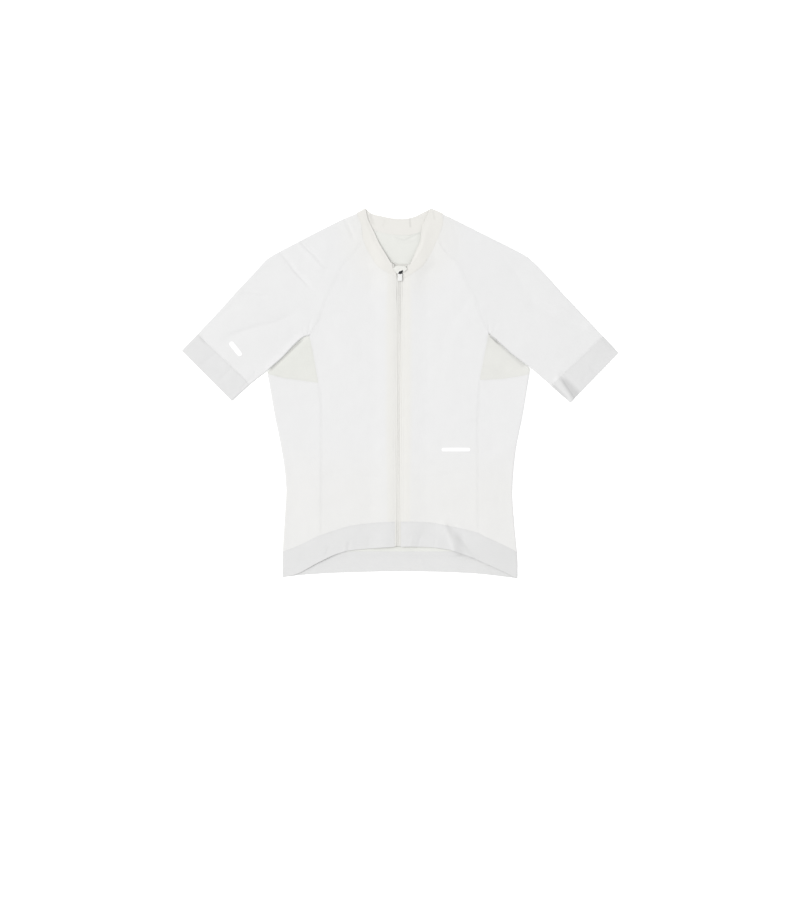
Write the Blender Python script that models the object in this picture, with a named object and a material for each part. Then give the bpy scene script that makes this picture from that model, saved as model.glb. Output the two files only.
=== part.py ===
"""Short-sleeved cycling jersey, lying flat on its back with the front up.

Frame: +Z up, +Y towards the collar, +X towards the viewer's right when the
jersey is seen from above.  The underside lies on z = 0 and the origin is under
the middle of the jersey.  All sizes below are in millimetres; meshes are
written in metres.

Every cloth piece is a wall of constant thickness built on a grid of points:
a plan patch between its seam curves, laid at the height of the back or of the
front layer, and turned over wherever the cloth folds round an edge.
"""
import bpy
import bmesh
import math
from mathutils import Vector

# ------------------------------------------------------------------ sizes (mm)
MM = 0.001
WALL = 1.0            # cloth thickness
GAP = 0.34            # space kept at each seam
AIR = 0.8             # air between the back and the front layer
TURN_STEPS = 4        # facets round a fold

POCKET_HALF = 135.0   # half width of the pocket bag
POCKET_TOP = -145.0   # its upper edge
POCKET_BOTTOM = -279.6
POCKET_RAMP = 12.0    # how far the back takes to come down beside the pocket

TAPE_IN = 2.3         # tape edge to the middle of the zip
TAPE_WIDTH = 9.7
FRONT_IN = 5.3        # front edge to the middle of the zip
ZIP_FLAT = 19.0       # half width of the level strip over the zip
ZIP_RAMP = 33.0
ZIP_RISE = 2.1        # how much higher the front lies over the zip
SLIDER_Y = 211.0
SLIDER_RISE = 1.2

# middle of the zip: y, x
ZIP_LOW = (-270.5, -3.9)
ZIP_HIGH = (198.6, -0.7)

# How far each tape edge stands off the middle of the zip above the slider
#            y      left   right
TAPE_OPEN = [
    (205.0,   2.3,   2.3),
    (212.0,   3.0,   3.4),
    (217.0,   5.9,   6.8),
    (222.0,   8.9,  12.2),
    (228.0,   9.6,  16.4),
    (240.0,   9.6,  16.4),
]

# ---------------------------------------------------------- seam curves (x, y)
# Viewer's left
SHOULDER_L = [(-77.0, 317.9), (-104.4, 306.6), (-146.9, 285.3), (-187.6, 264.1), (-226.0, 243.6),
              (-240.7, 232.2), (-260.2, 211.0), (-290.3, 179.1), (-318.6, 147.3), (-348.7, 115.4),
              (-358.4, 104.8)]
SLEEVE_LOW_L = [(-160.4, 102.3), (-171.5, 98.4), (-188.6, 83.6), (-208.0, 63.2), (-235.8, 38.9),
                (-251.3, 26.8), (-265.5, 15.4)]
CUFF_TOP_L = [(-358.4, 104.8), (-372.3, 90.4), (-386.3, 75.6)]
CUFF_LOW_L = [(-265.5, 15.4), (-281.0, 1.5), (-297.4, -13.8)]
SLIT_L = [(-160.0, 102.0), (-171.0, 97.6), (-188.0, 82.9), (-207.4, 62.5), (-229.4, 43.0),
          (-234.6, 38.0), (-234.9, 34.4)]
SIDE_L = [(-234.9, 34.4), (-228.6, -1.4), (-221.2, -43.9), (-212.4, -86.4), (-205.3, -128.9),
          (-201.8, -171.3), (-203.6, -206.7), (-206.2, -249.2), (-208.0, -279.8)]
BAND_SIDE_L = [(-208.0, -279.8), (-208.4, -303.0), (-208.3, -325.5)]
RAGLAN_FRONT_L = [(-65.5, 271.2), (-85.0, 246.4), (-104.4, 225.1), (-120.4, 189.7), (-131.0, 170.3),
                  (-138.1, 149.0), (-145.1, 129.6), (-160.2, 102.1)]
RAGLAN_BACK_L = [(-51.3, 290.6), (-70.8, 258.8), (-93.8, 218.1), (-118.6, 173.8), (-141.6, 131.3),
                 (-160.2, 102.1)]
GUSSET_IN_L = [(-160.2, 102.1), (-152.2, 62.3), (-144.3, 18.1)]
GUSSET_LOW_L = [(-144.3, 18.1), (-178.1, 22.8), (-207.4, 27.2), (-227.0, 32.4)]
SEAM_FRONT_L = [(-144.3, 18.1), (-140.5, -20.9), (-139.8, -82.8), (-139.8, -171.3), (-140.2, -250.8)]
SEAM_BACK_L = [(-144.3, 18.1), (-139.5, -20.9), (-138.2, -82.8), (-138.0, -171.3), (-138.0, -280.0)]
NECK_SLEEVE_L = [(-77.0, 317.9), (-72.6, 306.6), (-68.1, 295.9), (-67.3, 281.8), (-65.5, 271.2)]
NECK_FRONT_L = [(-65.5, 271.2), (-58.4, 253.5), (-51.3, 241.1), (-40.7, 225.1), (-24.8, 214.5),
                (-6.2, 204.4)]
NECK_BACK_L = [(-77.0, 317.9), (-67.3, 305.7), (-51.3, 290.6)]
COLLAR_EDGE_L = [(-61.1, 326.2), (-56.3, 306.6), (-46.9, 287.1), (-37.2, 265.9), (-25.7, 246.4),
                 (-15.6, 229.6)]
HEM_SIDE_L = [(-206.4, -279.8), (-178.1, -268.9), (-147.4, -253.6), (-140.2, -250.8)]
HEM_FRONT_L = [(-140.2, -250.8), (-117.0, -243.0), (-95.6, -236.3), (-68.3, -231.6), (-31.9, -228.0),
               (-8.9, -227.4)]
EDGE_SIDE_L = [(-206.8, -325.2), (-181.1, -319.1), (-147.4, -300.9), (-140.0, -297.2)]
EDGE_FRONT_L = [(-140.0, -297.2), (-117.0, -286.2), (-92.6, -278.8), (-68.3, -275.8), (-43.9, -274.0),
                (-9.2, -271.6)]
# Viewer's right
SHOULDER_R = [(75.0, 317.2), (97.3, 306.6), (139.8, 285.3), (182.3, 264.1), (220.8, 244.0),
              (235.4, 232.2), (256.6, 211.0), (285.0, 179.1), (315.1, 147.3), (345.1, 115.4),
              (359.3, 100.4)]
SLEEVE_LOW_R = [(156.9, 106.9), (163.6, 99.6), (177.8, 87.2), (197.2, 69.6), (229.3, 45.6),
                (249.4, 28.4), (267.3, 12.7)]
CUFF_TOP_R = [(359.3, 100.4), (373.1, 86.0), (386.3, 71.7)]
CUFF_LOW_R = [(267.3, 12.7), (284.0, -2.2), (300.9, -16.6)]
SLIT_R = [(156.3, 106.2), (162.9, 98.9), (177.2, 86.5), (196.6, 68.9), (222.4, 49.4),
          (228.6, 43.6), (229.3, 38.6), (229.0, 33.6)]
SIDE_R = [(229.0, 33.6), (223.0, -1.4), (215.9, -43.9), (207.1, -86.4), (201.8, -123.5),
          (198.6, -171.3), (200.0, -206.7), (203.6, -249.2), (206.7, -280.2)]
BAND_SIDE_R = [(206.7, -280.2), (207.8, -304.0), (207.6, -327.7)]
RAGLAN_FRONT_R = [(66.0, 271.2), (85.0, 246.4), (104.4, 225.1), (120.4, 189.7), (131.0, 170.3),
                  (138.1, 149.0), (144.3, 129.6), (156.6, 106.6)]
RAGLAN_BACK_R = [(50.4, 290.6), (69.0, 258.8), (92.0, 218.1), (116.8, 173.8), (138.1, 134.9),
                 (156.6, 106.6)]
GUSSET_IN_R = [(156.6, 106.6), (149.0, 65.8), (140.7, 23.4)]
GUSSET_LOW_R = [(140.7, 23.4), (173.1, 24.6), (190.8, 26.6), (206.6, 29.2), (222.0, 32.0)]
SEAM_FRONT_R = [(140.7, 23.4), (137.9, -17.3), (137.2, -82.8), (137.2, -171.3), (138.1, -246.7)]
SEAM_BACK_R = [(140.7, 23.4), (138.6, -17.3), (138.0, -82.8), (138.0, -171.3), (138.0, -280.0)]
NECK_SLEEVE_R = [(75.0, 317.2), (76.6, 303.0), (72.6, 288.9), (68.7, 278.2), (66.0, 271.2)]
NECK_FRONT_R = [(66.0, 271.2), (58.4, 253.5), (51.3, 241.1), (40.7, 225.1), (24.8, 212.8),
                (4.8, 201.4)]
NECK_BACK_R = [(75.0, 317.2), (67.3, 305.7), (50.4, 290.6)]
COLLAR_EDGE_R = [(54.0, 326.2), (46.9, 311.9), (40.0, 295.9), (37.2, 281.8), (35.4, 267.6),
                 (27.4, 249.9), (19.8, 231.3)]
HEM_SIDE_R = [(205.1, -280.2), (187.6, -270.5), (157.4, -256.7), (138.1, -246.7)]
HEM_FRONT_R = [(138.1, -246.7), (111.5, -240.0), (81.1, -233.8), (56.6, -229.0), (20.2, -227.1),
               (1.7, -227.1)]
EDGE_SIDE_R = [(206.1, -327.4), (187.6, -317.7), (157.4, -304.1), (138.1, -295.4)]
EDGE_FRONT_R = [(138.1, -295.4), (126.7, -290.3), (96.3, -279.8), (81.1, -275.8), (53.6, -272.4),
                (23.0, -271.4), (1.5, -271.4)]
# Across the back
NECK_BACK_MID = [(-51.3, 290.6), (-28.3, 283.0), (0.0, 280.0), (21.2, 281.0), (50.4, 290.6)]
COLLAR_EDGE_BACK = [(-61.1, 326.2), (-49.6, 317.6), (-31.9, 313.1), (-14.2, 309.6), (7.1, 308.4),
                    (24.8, 311.9), (38.9, 318.7), (54.0, 326.2)]
EDGE_BACK = [(-206.8, -325.2), (-180.5, -322.1), (-123.9, -318.2), (-53.1, -315.9), (0.0, -315.1),
             (70.8, -316.1), (132.8, -319.0), (177.0, -323.6), (206.1, -327.4)]

# Largest folds of the front layer, each a soft ridge (+) or trough (-)
# FOLD rows:      x0      y0      x1      y1   half width  height
FOLDS = [
    ("sleeve_l",  -306.0,  98.0, -196.0, 144.0,   9.0,   -0.35),
    ("sleeve_r",   236.0, 152.0,  318.0, 119.0,   9.0,   -1.0),
    ("cuff_r",     288.0,  30.0,  313.0,  -6.0,   6.0,   -2.2),
    ("cuff_r_lip", 280.5,  23.0,  304.0, -12.0,   6.5,    1.7),
    ("hem_r",       88.0, -236.0, 140.0, -292.0,  8.0,   -1.1),
    ("hem_r_lip",   76.0, -238.0, 128.0, -288.0,  9.0,    1.4),
    ("shoulder_l", -212.0, 246.0, -164.0, 188.0,   8.0,   -0.15),
    ("shoulder_m", -176.0, 268.0, -139.0, 226.0,   8.0,    0.8),
]
# Where the front layer bellies up a little: centre, half sizes, height
# BILLOW rows:  x       y       rx      ry    height
BILLOWS = [
    (-262.0, 128.0,  74.0,  62.0,  2.4),
    (262.0,  128.0,  74.0,  62.0,  2.2),
    (-84.0,   96.0,  66.0, 120.0,  1.3),
    (84.0,    90.0,  66.0, 120.0,  1.3),
    (-92.0, -112.0,  80.0, 130.0,  1.1),
    (90.0,  -120.0,  80.0, 130.0,  1.0),
    (-150.0, 214.0,  60.0,  46.0,  0.9),
    (150.0,  214.0,  60.0,  46.0,  0.9),
]

# Rows of the panels below the gusset corner, as shares of the seam's height.
# The back has rows where the pocket's ramp starts and ends.
BACK_ROWS = [-280.0, -245.0, -212.0, -178.0, -144.0, -131.0, -98.0, -64.0, -26.0]
N_GUSSET = 3          # rows beside the gusset
N_RAGLAN = 7          # steps along each raglan seam
N_NECK_SLEEVE = 4     # steps along the sleeve's own stretch of neckline, front
N_NECK_BACK = 3       # and back
N_FRONT = 7           # steps across a front panel
N_BACK = 10           # steps across the back panel
N_SIDE = 5            # steps across each face of a side panel
N_SLEEVE = 11         # steps along a sleeve
N_CUFF = 2
N_BAND = 3

# hard parts of the zip
SLIDER_X = 0.2        # middle of the slider
PLATE_HALF = 3.8      # half width of the slider
PLATE_LOW_Y, PLATE_HIGH_Y = 205.4, 217.6
PLATE = 0.8
AXIS_Y = 212.9        # hinge of the pull tab
BAR_R = 0.55
BRIDGE_HALF = 0.8
BRIDGE_REACH = 2.4    # bridge, each way from the hinge
SLOT_HALF = 1.25
SLOT_REACH = 3.25
TAB_HALF = 3.9
TAB_LENGTH = 14.2     # from the hinge to the tab's end
NECK_HALF = 2.35      # half width of the tab beside its slot
TAB_THICK = 1.1

# The flap folded over the head of the zip.  Its free edge runs slantwise
# round the slider's bridge:  x, y
GARAGE_EDGE = [(-12.0, 219.0), (-9.0, 215.4), (-7.0, 213.0), (-5.4, 211.5), (-4.4, 211.2), (-3.7, 212.3),
               (-3.0, 214.0), (-1.6, 215.6), (1.4, 215.9), (3.0, 217.0), (5.0, 218.7), (6.8, 219.4),
               (9.0, 219.3), (12.4, 220.0)]
GARAGE_TOP = 223.4    # where it starts to turn
GARAGE_REAR = 221.4   # edge of its rear layer

WHITE = (0.86, 0.86, 0.86, 1.0)
WARM_WHITE = (0.84, 0.83, 0.80, 1.0)
BAND_WHITE = (0.78, 0.78, 0.78, 1.0)
MESH_WHITE = (0.80, 0.80, 0.78, 1.0)
DARK = (0.06, 0.06, 0.065, 1.0)


# ------------------------------------------------------------- small helpers
def smooth01(t):
    t = min(1.0, max(0.0, t))
    return t * t * (3.0 - 2.0 * t)


def lerp(a, b, t):
    return a + (b - a) * t


def zip_x(y):
    t = (y - ZIP_LOW[0]) / (ZIP_HIGH[0] - ZIP_LOW[0])
    return lerp(ZIP_LOW[1], ZIP_HIGH[1], min(1.0, t))


def tape_offset(y, column):
    """Distance of a tape's inner edge from the middle of the zip."""
    if y <= TAPE_OPEN[0][0]:
        return TAPE_OPEN[0][column]
    for low, high in zip(TAPE_OPEN, TAPE_OPEN[1:]):
        if y <= high[0]:
            t = (y - low[0]) / (high[0] - low[0])
            return lerp(low[column], high[column], t)
    return TAPE_OPEN[-1][column]


# ------------------------------------------------------------- height fields
def pocket_lift(x, y, grow):
    """1 over the pocket bag, falling to 0 within the ramp around it."""
    dx = max(0.0, abs(x) - (138.4 + grow))
    dy = max(0.0, y - (POCKET_TOP + 1.5 + grow), (POCKET_BOTTOM - 0.8) - y)
    return 1.0 - smooth01(math.hypot(dx, dy) / (POCKET_RAMP + grow * 0.6))


def back_mid(x, y):
    return 0.5 * WALL + (WALL + GAP) * pocket_lift(x, y, 0.0)


def under_top(x, y):
    """Upper face of the back, as the layers above it take it."""
    return WALL + (WALL + GAP) * pocket_lift(x, y, 18.0)


def slider_rise(y, ramp=26.0):
    return SLIDER_RISE * (1.0 - smooth01((abs(y - SLIDER_Y) - 13.0) / ramp))


def zip_distance(x, y):
    d = x - zip_x(y)
    if d < 0.0:
        return -d - (tape_offset(y, 1) - TAPE_IN)
    return d - (tape_offset(y, 2) - TAPE_IN)


def fold_relief(x, y):
    total = 0.0
    for name, x0, y0, x1, y1, half, height in FOLDS:
        dx, dy = x1 - x0, y1 - y0
        length = math.hypot(dx, dy)
        along = ((x - x0) * dx + (y - y0) * dy) / length
        across = ((x - x0) * dy - (y - y0) * dx) / length
        reach = 0.22 * length
        ends = smooth01((along + reach) / reach) * smooth01((length + reach - along) / reach)
        total += height * ends * math.exp(-(across / half) ** 2)
    for cx, cy, rx, ry, height in BILLOWS:
        q = ((x - cx) / rx) ** 2 + ((y - cy) / ry) ** 2
        total += height * math.exp(-q)
    return total


def front_mid(x, y):
    d = zip_distance(x, y)
    near = 1.0 - smooth01((d - ZIP_FLAT) / ZIP_RAMP)
    flat = under_top(x, y) + AIR + 0.5 * WALL
    rise = (ZIP_RISE + slider_rise(y, 46.0)) * near
    relief = fold_relief(x, y) * (1.0 - near)
    return max(flat + rise + relief, flat - AIR + 0.36 + rise)


# ------------------------------------------------------------- plan curves
def dense(points, per=14):
    """Many points along the smooth curve through the given ones."""
    if len(points) == 2:
        (ax, ay), (bx, by) = points
        return [(lerp(ax, bx, k / per), lerp(ay, by, k / per)) for k in range(per + 1)]
    out = []
    last = len(points) - 1
    for i in range(last):
        p1, p2 = points[i], points[i + 1]
        p0 = points[i - 1] if i > 0 else (2 * p1[0] - p2[0], 2 * p1[1] - p2[1])
        p3 = points[i + 2] if i + 2 <= last else (2 * p2[0] - p1[0], 2 * p2[1] - p1[1])
        for k in range(per):
            t = k / per
            row = []
            for c in (0, 1):
                row.append(0.5 * (2 * p1[c] + (p2[c] - p0[c]) * t
                                  + (2 * p0[c] - 5 * p1[c] + 4 * p2[c] - p3[c]) * t * t
                                  + (3 * p1[c] - p0[c] - 3 * p2[c] + p3[c]) * t ** 3))
            out.append(tuple(row))
    out.append(tuple(points[-1]))
    return out


def by_length(points, count):
    """count + 1 points evenly spaced along the smooth curve."""
    line = dense(points)
    total = [0.0]
    for a, b in zip(line, line[1:]):
        total.append(total[-1] + math.dist(a, b))
    out, seg = [], 0
    for k in range(count + 1):
        want = total[-1] * k / count
        while seg < len(line) - 2 and total[seg + 1] < want:
            seg += 1
        span = total[seg + 1] - total[seg]
        t = (want - total[seg]) / span if span > 0 else 0.0
        t = min(1.0, max(0.0, t))
        out.append((lerp(line[seg][0], line[seg + 1][0], t), lerp(line[seg][1], line[seg + 1][1], t)))
    out[0], out[-1] = tuple(points[0]), tuple(points[-1])
    return out


def at_heights(points, ys):
    """Points where the smooth curve crosses the given y values."""
    line = dense(points)
    out = []
    for y in ys:
        best = min(range(len(line) - 1),
                   key=lambda k: 0.0 if min(line[k][1], line[k + 1][1]) <= y <= max(line[k][1], line[k + 1][1])
                   else min(abs(line[k][1] - y), abs(line[k + 1][1] - y)))
        a, b = line[best], line[best + 1]
        t = (y - a[1]) / (b[1] - a[1]) if b[1] != a[1] else 0.0
        t = min(1.0, max(0.0, t))
        out.append((lerp(a[0], b[0], t), y if 0.0 <= t <= 1.0 else lerp(a[1], b[1], t)))
    return out


def join(*parts):
    out = list(parts[0])
    for part in parts[1:]:
        out.extend(part[1:])
    return out


def shares(line):
    total = [0.0]
    for a, b in zip(line, line[1:]):
        total.append(total[-1] + math.dist(a, b))
    return [t / total[-1] for t in total]


def patch(start, end, first, last):
    """Plan grid between four curves.

    start and end run along the rows' ends (index j), first and last run
    across (index i): start[0] = first[0], start[-1] = last[0],
    end[0] = first[-1], end[-1] = last[-1].  Returned as grid[i][j].
    """
    ni, nj = len(first), len(start)
    fu, lu = shares(first), shares(last)
    sv, ev = shares(start), shares(end)
    grid = []
    for i in range(ni):
        column = []
        for j in range(nj):
            u, v = 0.5 * (fu[i] + lu[i]), 0.5 * (sv[j] + ev[j])
            for _ in range(3):
                u = lerp(fu[i], lu[i], v)
                v = lerp(sv[j], ev[j], u)
            point = []
            for c in (0, 1):
                value = (1 - u) * start[j][c] + u * end[j][c] + (1 - v) * first[i][c] + v * last[i][c]
                value -= ((1 - u) * (1 - v) * first[0][c] + u * (1 - v) * first[-1][c]
                          + (1 - u) * v * last[0][c] + u * v * last[-1][c])
                point.append(value)
            column.append(tuple(point))
        grid.append(column)
    return grid


def fold_line(outline, inward_hint, front=None):
    """From the outline of a folded edge: the line where the cloth starts to
    turn, and the outward direction at each point."""
    front = front or front_mid
    tangent_line, outs = [], []
    last = len(outline) - 1
    for j, p in enumerate(outline):
        a, b = outline[max(0, j - 1)], outline[min(last, j + 1)]
        tx, ty = b[0] - a[0], b[1] - a[1]
        length = math.hypot(tx, ty)
        ox, oy = ty / length, -tx / length
        if ox * inward_hint[0] + oy * inward_hint[1] > 0:
            ox, oy = -ox, -oy
        cx, cy = p[0] - 1.4 * ox, p[1] - 1.4 * oy
        r = 0.5 * (front(cx, cy) - back_mid(cx, cy))
        cx, cy = p[0] - (r + 0.5 * WALL) * ox, p[1] - (r + 0.5 * WALL) * oy
        tangent_line.append((cx, cy))
        outs.append((ox, oy))
    return tangent_line, outs


# ------------------------------------------------------------- laid grids
# A laid grid is a list of columns; each entry is (position, outside direction)
def lay_front(grid, height=None):
    height = height or front_mid
    return [[(Vector((x, y, height(x, y))), Vector((0, 0, 1))) for x, y in column] for column in grid]


def lay_back(grid):
    return [[(Vector((x, y, back_mid(x, y))), Vector((0, 0, -1))) for x, y in column] for column in grid]


def turn(line, outs, from_front, steps=TURN_STEPS, front=None):
    """Columns strictly inside a fold, from the front layer to the back one,
    or the other way round."""
    front = front or front_mid
    columns = []
    for k in range(1, steps):
        phi = math.pi * (0.5 - k / steps)
        if not from_front:
            phi = -phi
        column = []
        for (x, y), (ox, oy) in zip(line, outs):
            zf, zb = front(x, y), back_mid(x, y)
            r, zc = 0.5 * (zf - zb), 0.5 * (zf + zb)
            direction = Vector((math.cos(phi) * ox, math.cos(phi) * oy, math.sin(phi)))
            column.append((Vector((x, y, zc)) + r * direction, direction))
        columns.append(column)
    return columns


def trim(columns, first=0.0, last=0.0, start=0.0, end=0.0):
    """Draw the edges of a laid grid back from the seams, within the cloth.

    first/last are the first and last column, start/end the first and last
    row, each with the distance to draw it back."""
    ni, nj = len(columns), len(columns[0])
    pos = [[columns[i][j][0] for j in range(nj)] for i in range(ni)]
    moved = [[p.copy() for p in column] for column in pos]

    def pull(i, j, di, dj):
        """Unit direction from an edge point into the cloth, square to the edge."""
        inner = pos[i + di][j + dj] - pos[i][j]
        if di:
            a, b = pos[i][max(0, j - 1)], pos[i][min(nj - 1, j + 1)]
        else:
            a, b = pos[max(0, i - 1)][j], pos[min(ni - 1, i + 1)][j]
        along = (b - a).normalized()
        inner = inner - along * inner.dot(along)
        return inner.normalized()

    for i in range(ni):
        for j in range(nj):
            pulls = []
            if i == 0 and first:
                pulls.append((pull(i, j, 1, 0), first))
            if i == ni - 1 and last:
                pulls.append((pull(i, j, -1, 0), last))
            if j == 0 and start:
                pulls.append((pull(i, j, 0, 1), start))
            if j == nj - 1 and end:
                pulls.append((pull(i, j, 0, -1), end))
            if len(pulls) == 1:
                moved[i][j] += pulls[0][0] * pulls[0][1]
            elif len(pulls) == 2:
                (n1, d1), (n2, d2) = pulls
                c = max(-0.8, min(0.8, n1.dot(n2)))
                a = (d1 - d2 * c) / (1 - c * c)
                b = (d2 - d1 * c) / (1 - c * c)
                moved[i][j] += n1 * a + n2 * b
    return [[(moved[i][j], columns[i][j][1]) for j in range(nj)] for i in range(ni)]


def material(name, colour, roughness, metallic=0.0):
    found = bpy.data.materials.get(name)
    if found:
        return found
    made = bpy.data.materials.new(name)
    made.use_nodes = True
    shader = made.node_tree.nodes["Principled BSDF"]
    shader.inputs["Base Color"].default_value = colour
    shader.inputs["Roughness"].default_value = roughness
    shader.inputs["Metallic"].default_value = metallic
    return made


def slab(name, columns, finish, wall=WALL):
    """Closed wall on a laid grid."""
    ni, nj = len(columns), len(columns[0])
    bm = bmesh.new()
    outer = [[bm.verts.new((p + n * 0.5 * wall) * MM) for p, n in column] for column in columns]
    inner = [[bm.verts.new((p - n * 0.5 * wall) * MM) for p, n in column] for column in columns]
    for i in range(ni - 1):
        for j in range(nj - 1):
            bm.faces.new((outer[i][j], outer[i + 1][j], outer[i + 1][j + 1], outer[i][j + 1]))
            bm.faces.new((inner[i][j], inner[i][j + 1], inner[i + 1][j + 1], inner[i + 1][j]))
    ring = [(i, 0) for i in range(ni)] + [(ni - 1, j) for j in range(1, nj)]
    ring += [(i, nj - 1) for i in range(ni - 2, -1, -1)] + [(0, j) for j in range(nj - 2, 0, -1)]
    for (i0, j0), (i1, j1) in zip(ring, ring[1:] + ring[:1]):
        bm.faces.new((outer[i0][j0], inner[i0][j0], inner[i1][j1], outer[i1][j1]))
    for vert in bm.verts:
        vert.co.z = max(0.0, vert.co.z)      # the underside lies flat
    bmesh.ops.recalc_face_normals(bm, faces=bm.faces)
    mesh = bpy.data.meshes.new(name)
    bm.to_mesh(mesh)
    bm.free()
    mesh.shade_smooth()
    mesh.set_sharp_from_angle(angle=math.radians(50))
    mesh.materials.append(finish)
    made = bpy.data.objects.new(name, mesh)
    bpy.context.scene.collection.objects.link(made)
    return made


def block(name, low, high, finish=None):
    """Plain box between two corners, in millimetres."""
    bm = bmesh.new()
    bmesh.ops.create_cube(bm, size=1.0)
    for vert in bm.verts:
        for c in range(3):
            vert.co[c] = lerp(low[c], high[c], vert.co[c] + 0.5) * MM
    mesh = bpy.data.meshes.new(name)
    bm.to_mesh(mesh)
    bm.free()
    if finish:
        mesh.materials.append(finish)
    made = bpy.data.objects.new(name, mesh)
    bpy.context.scene.collection.objects.link(made)
    return made


def combine(target, other, operation):
    """Join or cut with another block, then drop that block."""
    modifier = target.modifiers.new(operation.lower(), "BOOLEAN")
    modifier.operation = operation
    modifier.solver = "EXACT"
    modifier.object = other
    bpy.context.view_layer.update()
    evaluated = target.evaluated_get(bpy.context.evaluated_depsgraph_get())
    mesh = bpy.data.meshes.new_from_object(evaluated)
    target.modifiers.clear()
    old = target.data
    target.data = mesh
    bpy.data.meshes.remove(old)
    bpy.data.objects.remove(other, do_unlink=True)


# ------------------------------------------------------------- the pieces
def mirror_sets():
    left = dict(side="l", hint=1.0, shoulder=SHOULDER_L, low=SLEEVE_LOW_L, cuff_top=CUFF_TOP_L,
                cuff_low=CUFF_LOW_L, slit=SLIT_L, fold=SIDE_L, raglan_f=RAGLAN_FRONT_L,
                raglan_b=RAGLAN_BACK_L, gusset_in=GUSSET_IN_L, gusset_low=GUSSET_LOW_L,
                seam_f=SEAM_FRONT_L, seam_b=SEAM_BACK_L, neck_sleeve=NECK_SLEEVE_L,
                neck_front=NECK_FRONT_L, neck_back=NECK_BACK_L, hem_side=HEM_SIDE_L,
                hem_front=HEM_FRONT_L)
    right = dict(side="r", hint=-1.0, shoulder=SHOULDER_R, low=SLEEVE_LOW_R, cuff_top=CUFF_TOP_R,
                 cuff_low=CUFF_LOW_R, slit=SLIT_R, fold=SIDE_R, raglan_f=RAGLAN_FRONT_R,
                 raglan_b=RAGLAN_BACK_R, gusset_in=GUSSET_IN_R, gusset_low=GUSSET_LOW_R,
                 seam_f=SEAM_FRONT_R, seam_b=SEAM_BACK_R, neck_sleeve=NECK_SLEEVE_R,
                 neck_front=NECK_FRONT_R, neck_back=NECK_BACK_R, hem_side=HEM_SIDE_R,
                 hem_front=HEM_FRONT_R)
    return left, right


def seam_rows(curve, top_y, bottom_y):
    """Points down a side seam, from the gusset corner to the band, in the
    same shares of its height as the back's rows."""
    ys = [top_y] + [lerp(bottom_y, top_y, (y - BACK_ROWS[0]) / (22.0 - BACK_ROWS[0]))
                    for y in reversed(BACK_ROWS[1:])] + [bottom_y]
    return at_heights(curve, ys)


def back_rows(curve):
    ys = [curve[0][1]] + list(reversed(BACK_ROWS))
    return at_heights(curve, ys)


def front_panel(s, finish):
    """From the hem band up the side seam, past the gusset and along the
    raglan seam to the neckline, and across to the zip."""
    seam = list(reversed(seam_rows(s["seam_f"], s["seam_f"][0][1], s["seam_f"][-1][1])))
    gusset = list(reversed(by_length(s["gusset_in"], N_GUSSET)))
    raglan = list(reversed(by_length(s["raglan_f"], N_RAGLAN)))
    outer = join(seam, gusset, raglan)
    neck = by_length(s["neck_front"], N_FRONT)
    hem = by_length(s["hem_front"], N_FRONT)
    hem[0] = outer[0]
    rows = len(outer) - 1
    part_y = shares(outer)
    zip_edge = []
    for k in range(rows + 1):
        y = lerp(hem[-1][1], neck[-1][1], part_y[k])
        zip_edge.append((zip_x(y) - s["hint"] * FRONT_IN, y))
    hem[-1], neck[-1] = zip_edge[0], zip_edge[-1]
    grid = patch(outer, zip_edge, hem, neck)
    half = 0.5 * GAP
    return slab("front_" + s["side"], trim(lay_front(grid), first=half, start=half, end=half), finish)


def back_panel(left, right, finish):
    sides = []
    for s in (left, right):
        seam = list(reversed(back_rows(s["seam_b"])))
        gusset = list(reversed(by_length(s["gusset_in"], N_GUSSET)))
        raglan = list(reversed(by_length(s["raglan_b"], N_RAGLAN)))
        sides.append(join(seam, gusset, raglan))
    neck = by_length(NECK_BACK_MID, N_BACK)
    hem = [(lerp(sides[0][0][0], sides[1][0][0], k / N_BACK), -280.0) for k in range(N_BACK + 1)]
    grid = patch(sides[0], sides[1], hem, neck)
    half = 0.5 * GAP
    return slab("back", trim(lay_back(grid), first=half, last=half, start=half, end=half), finish)


def side_corner(s):
    """Where the side's fold and the gusset's meet: the point where the cloth
    starts to turn, and the outward direction, shared by both pieces."""
    x, y = s["fold"][0]
    ox = -s["hint"]
    cx = x - 1.4 * ox
    r = 0.5 * (front_mid(cx, y) - back_mid(cx, y))
    return (x - (r + 0.5 * WALL) * ox, y), (ox, 0.0)


def side_panel(s, finish):
    """Wrapped round the side: front seam, fold, back seam; rows from the
    gusset down to the hem band."""
    front_seam = seam_rows(s["seam_f"], s["seam_f"][0][1], s["seam_f"][-1][1])
    back_seam = back_rows(s["seam_b"])
    outline = at_heights(s["fold"], [lerp(s["fold"][0][1], s["fold"][-1][1],
                                          (p[1] - back_seam[0][1]) / (back_seam[-1][1] - back_seam[0][1]))
                                     for p in back_seam])
    line, outs = fold_line(outline, (s["hint"], 0.0))
    line[0], outs[0] = side_corner(s)
    top_f = by_length(s["gusset_low"] + [line[0]], N_SIDE)
    low_f = list(reversed(by_length(s["hem_side"], N_SIDE)))
    low_f[0], low_f[-1] = front_seam[-1], line[-1]
    front = lay_front(patch(front_seam, line, top_f, low_f))
    top_b = list(reversed(top_f))
    inner_x = s["hint"] * -150.6
    low_b = [(lerp(line[-1][0], inner_x, k / (N_SIDE - 1)), -280.0) for k in range(N_SIDE)]
    low_b[0] = line[-1]
    low_b.append(back_seam[-1])
    back = lay_back(patch(line, back_seam, top_b, low_b))
    # a column stands where the pocket's ramp ends
    columns = front[:-1] + [front[-1]] + turn(line, outs, True) + back
    half = 0.5 * GAP
    return slab("side_" + s["side"], trim(columns, first=half, last=half, start=half, end=half), finish)


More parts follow.
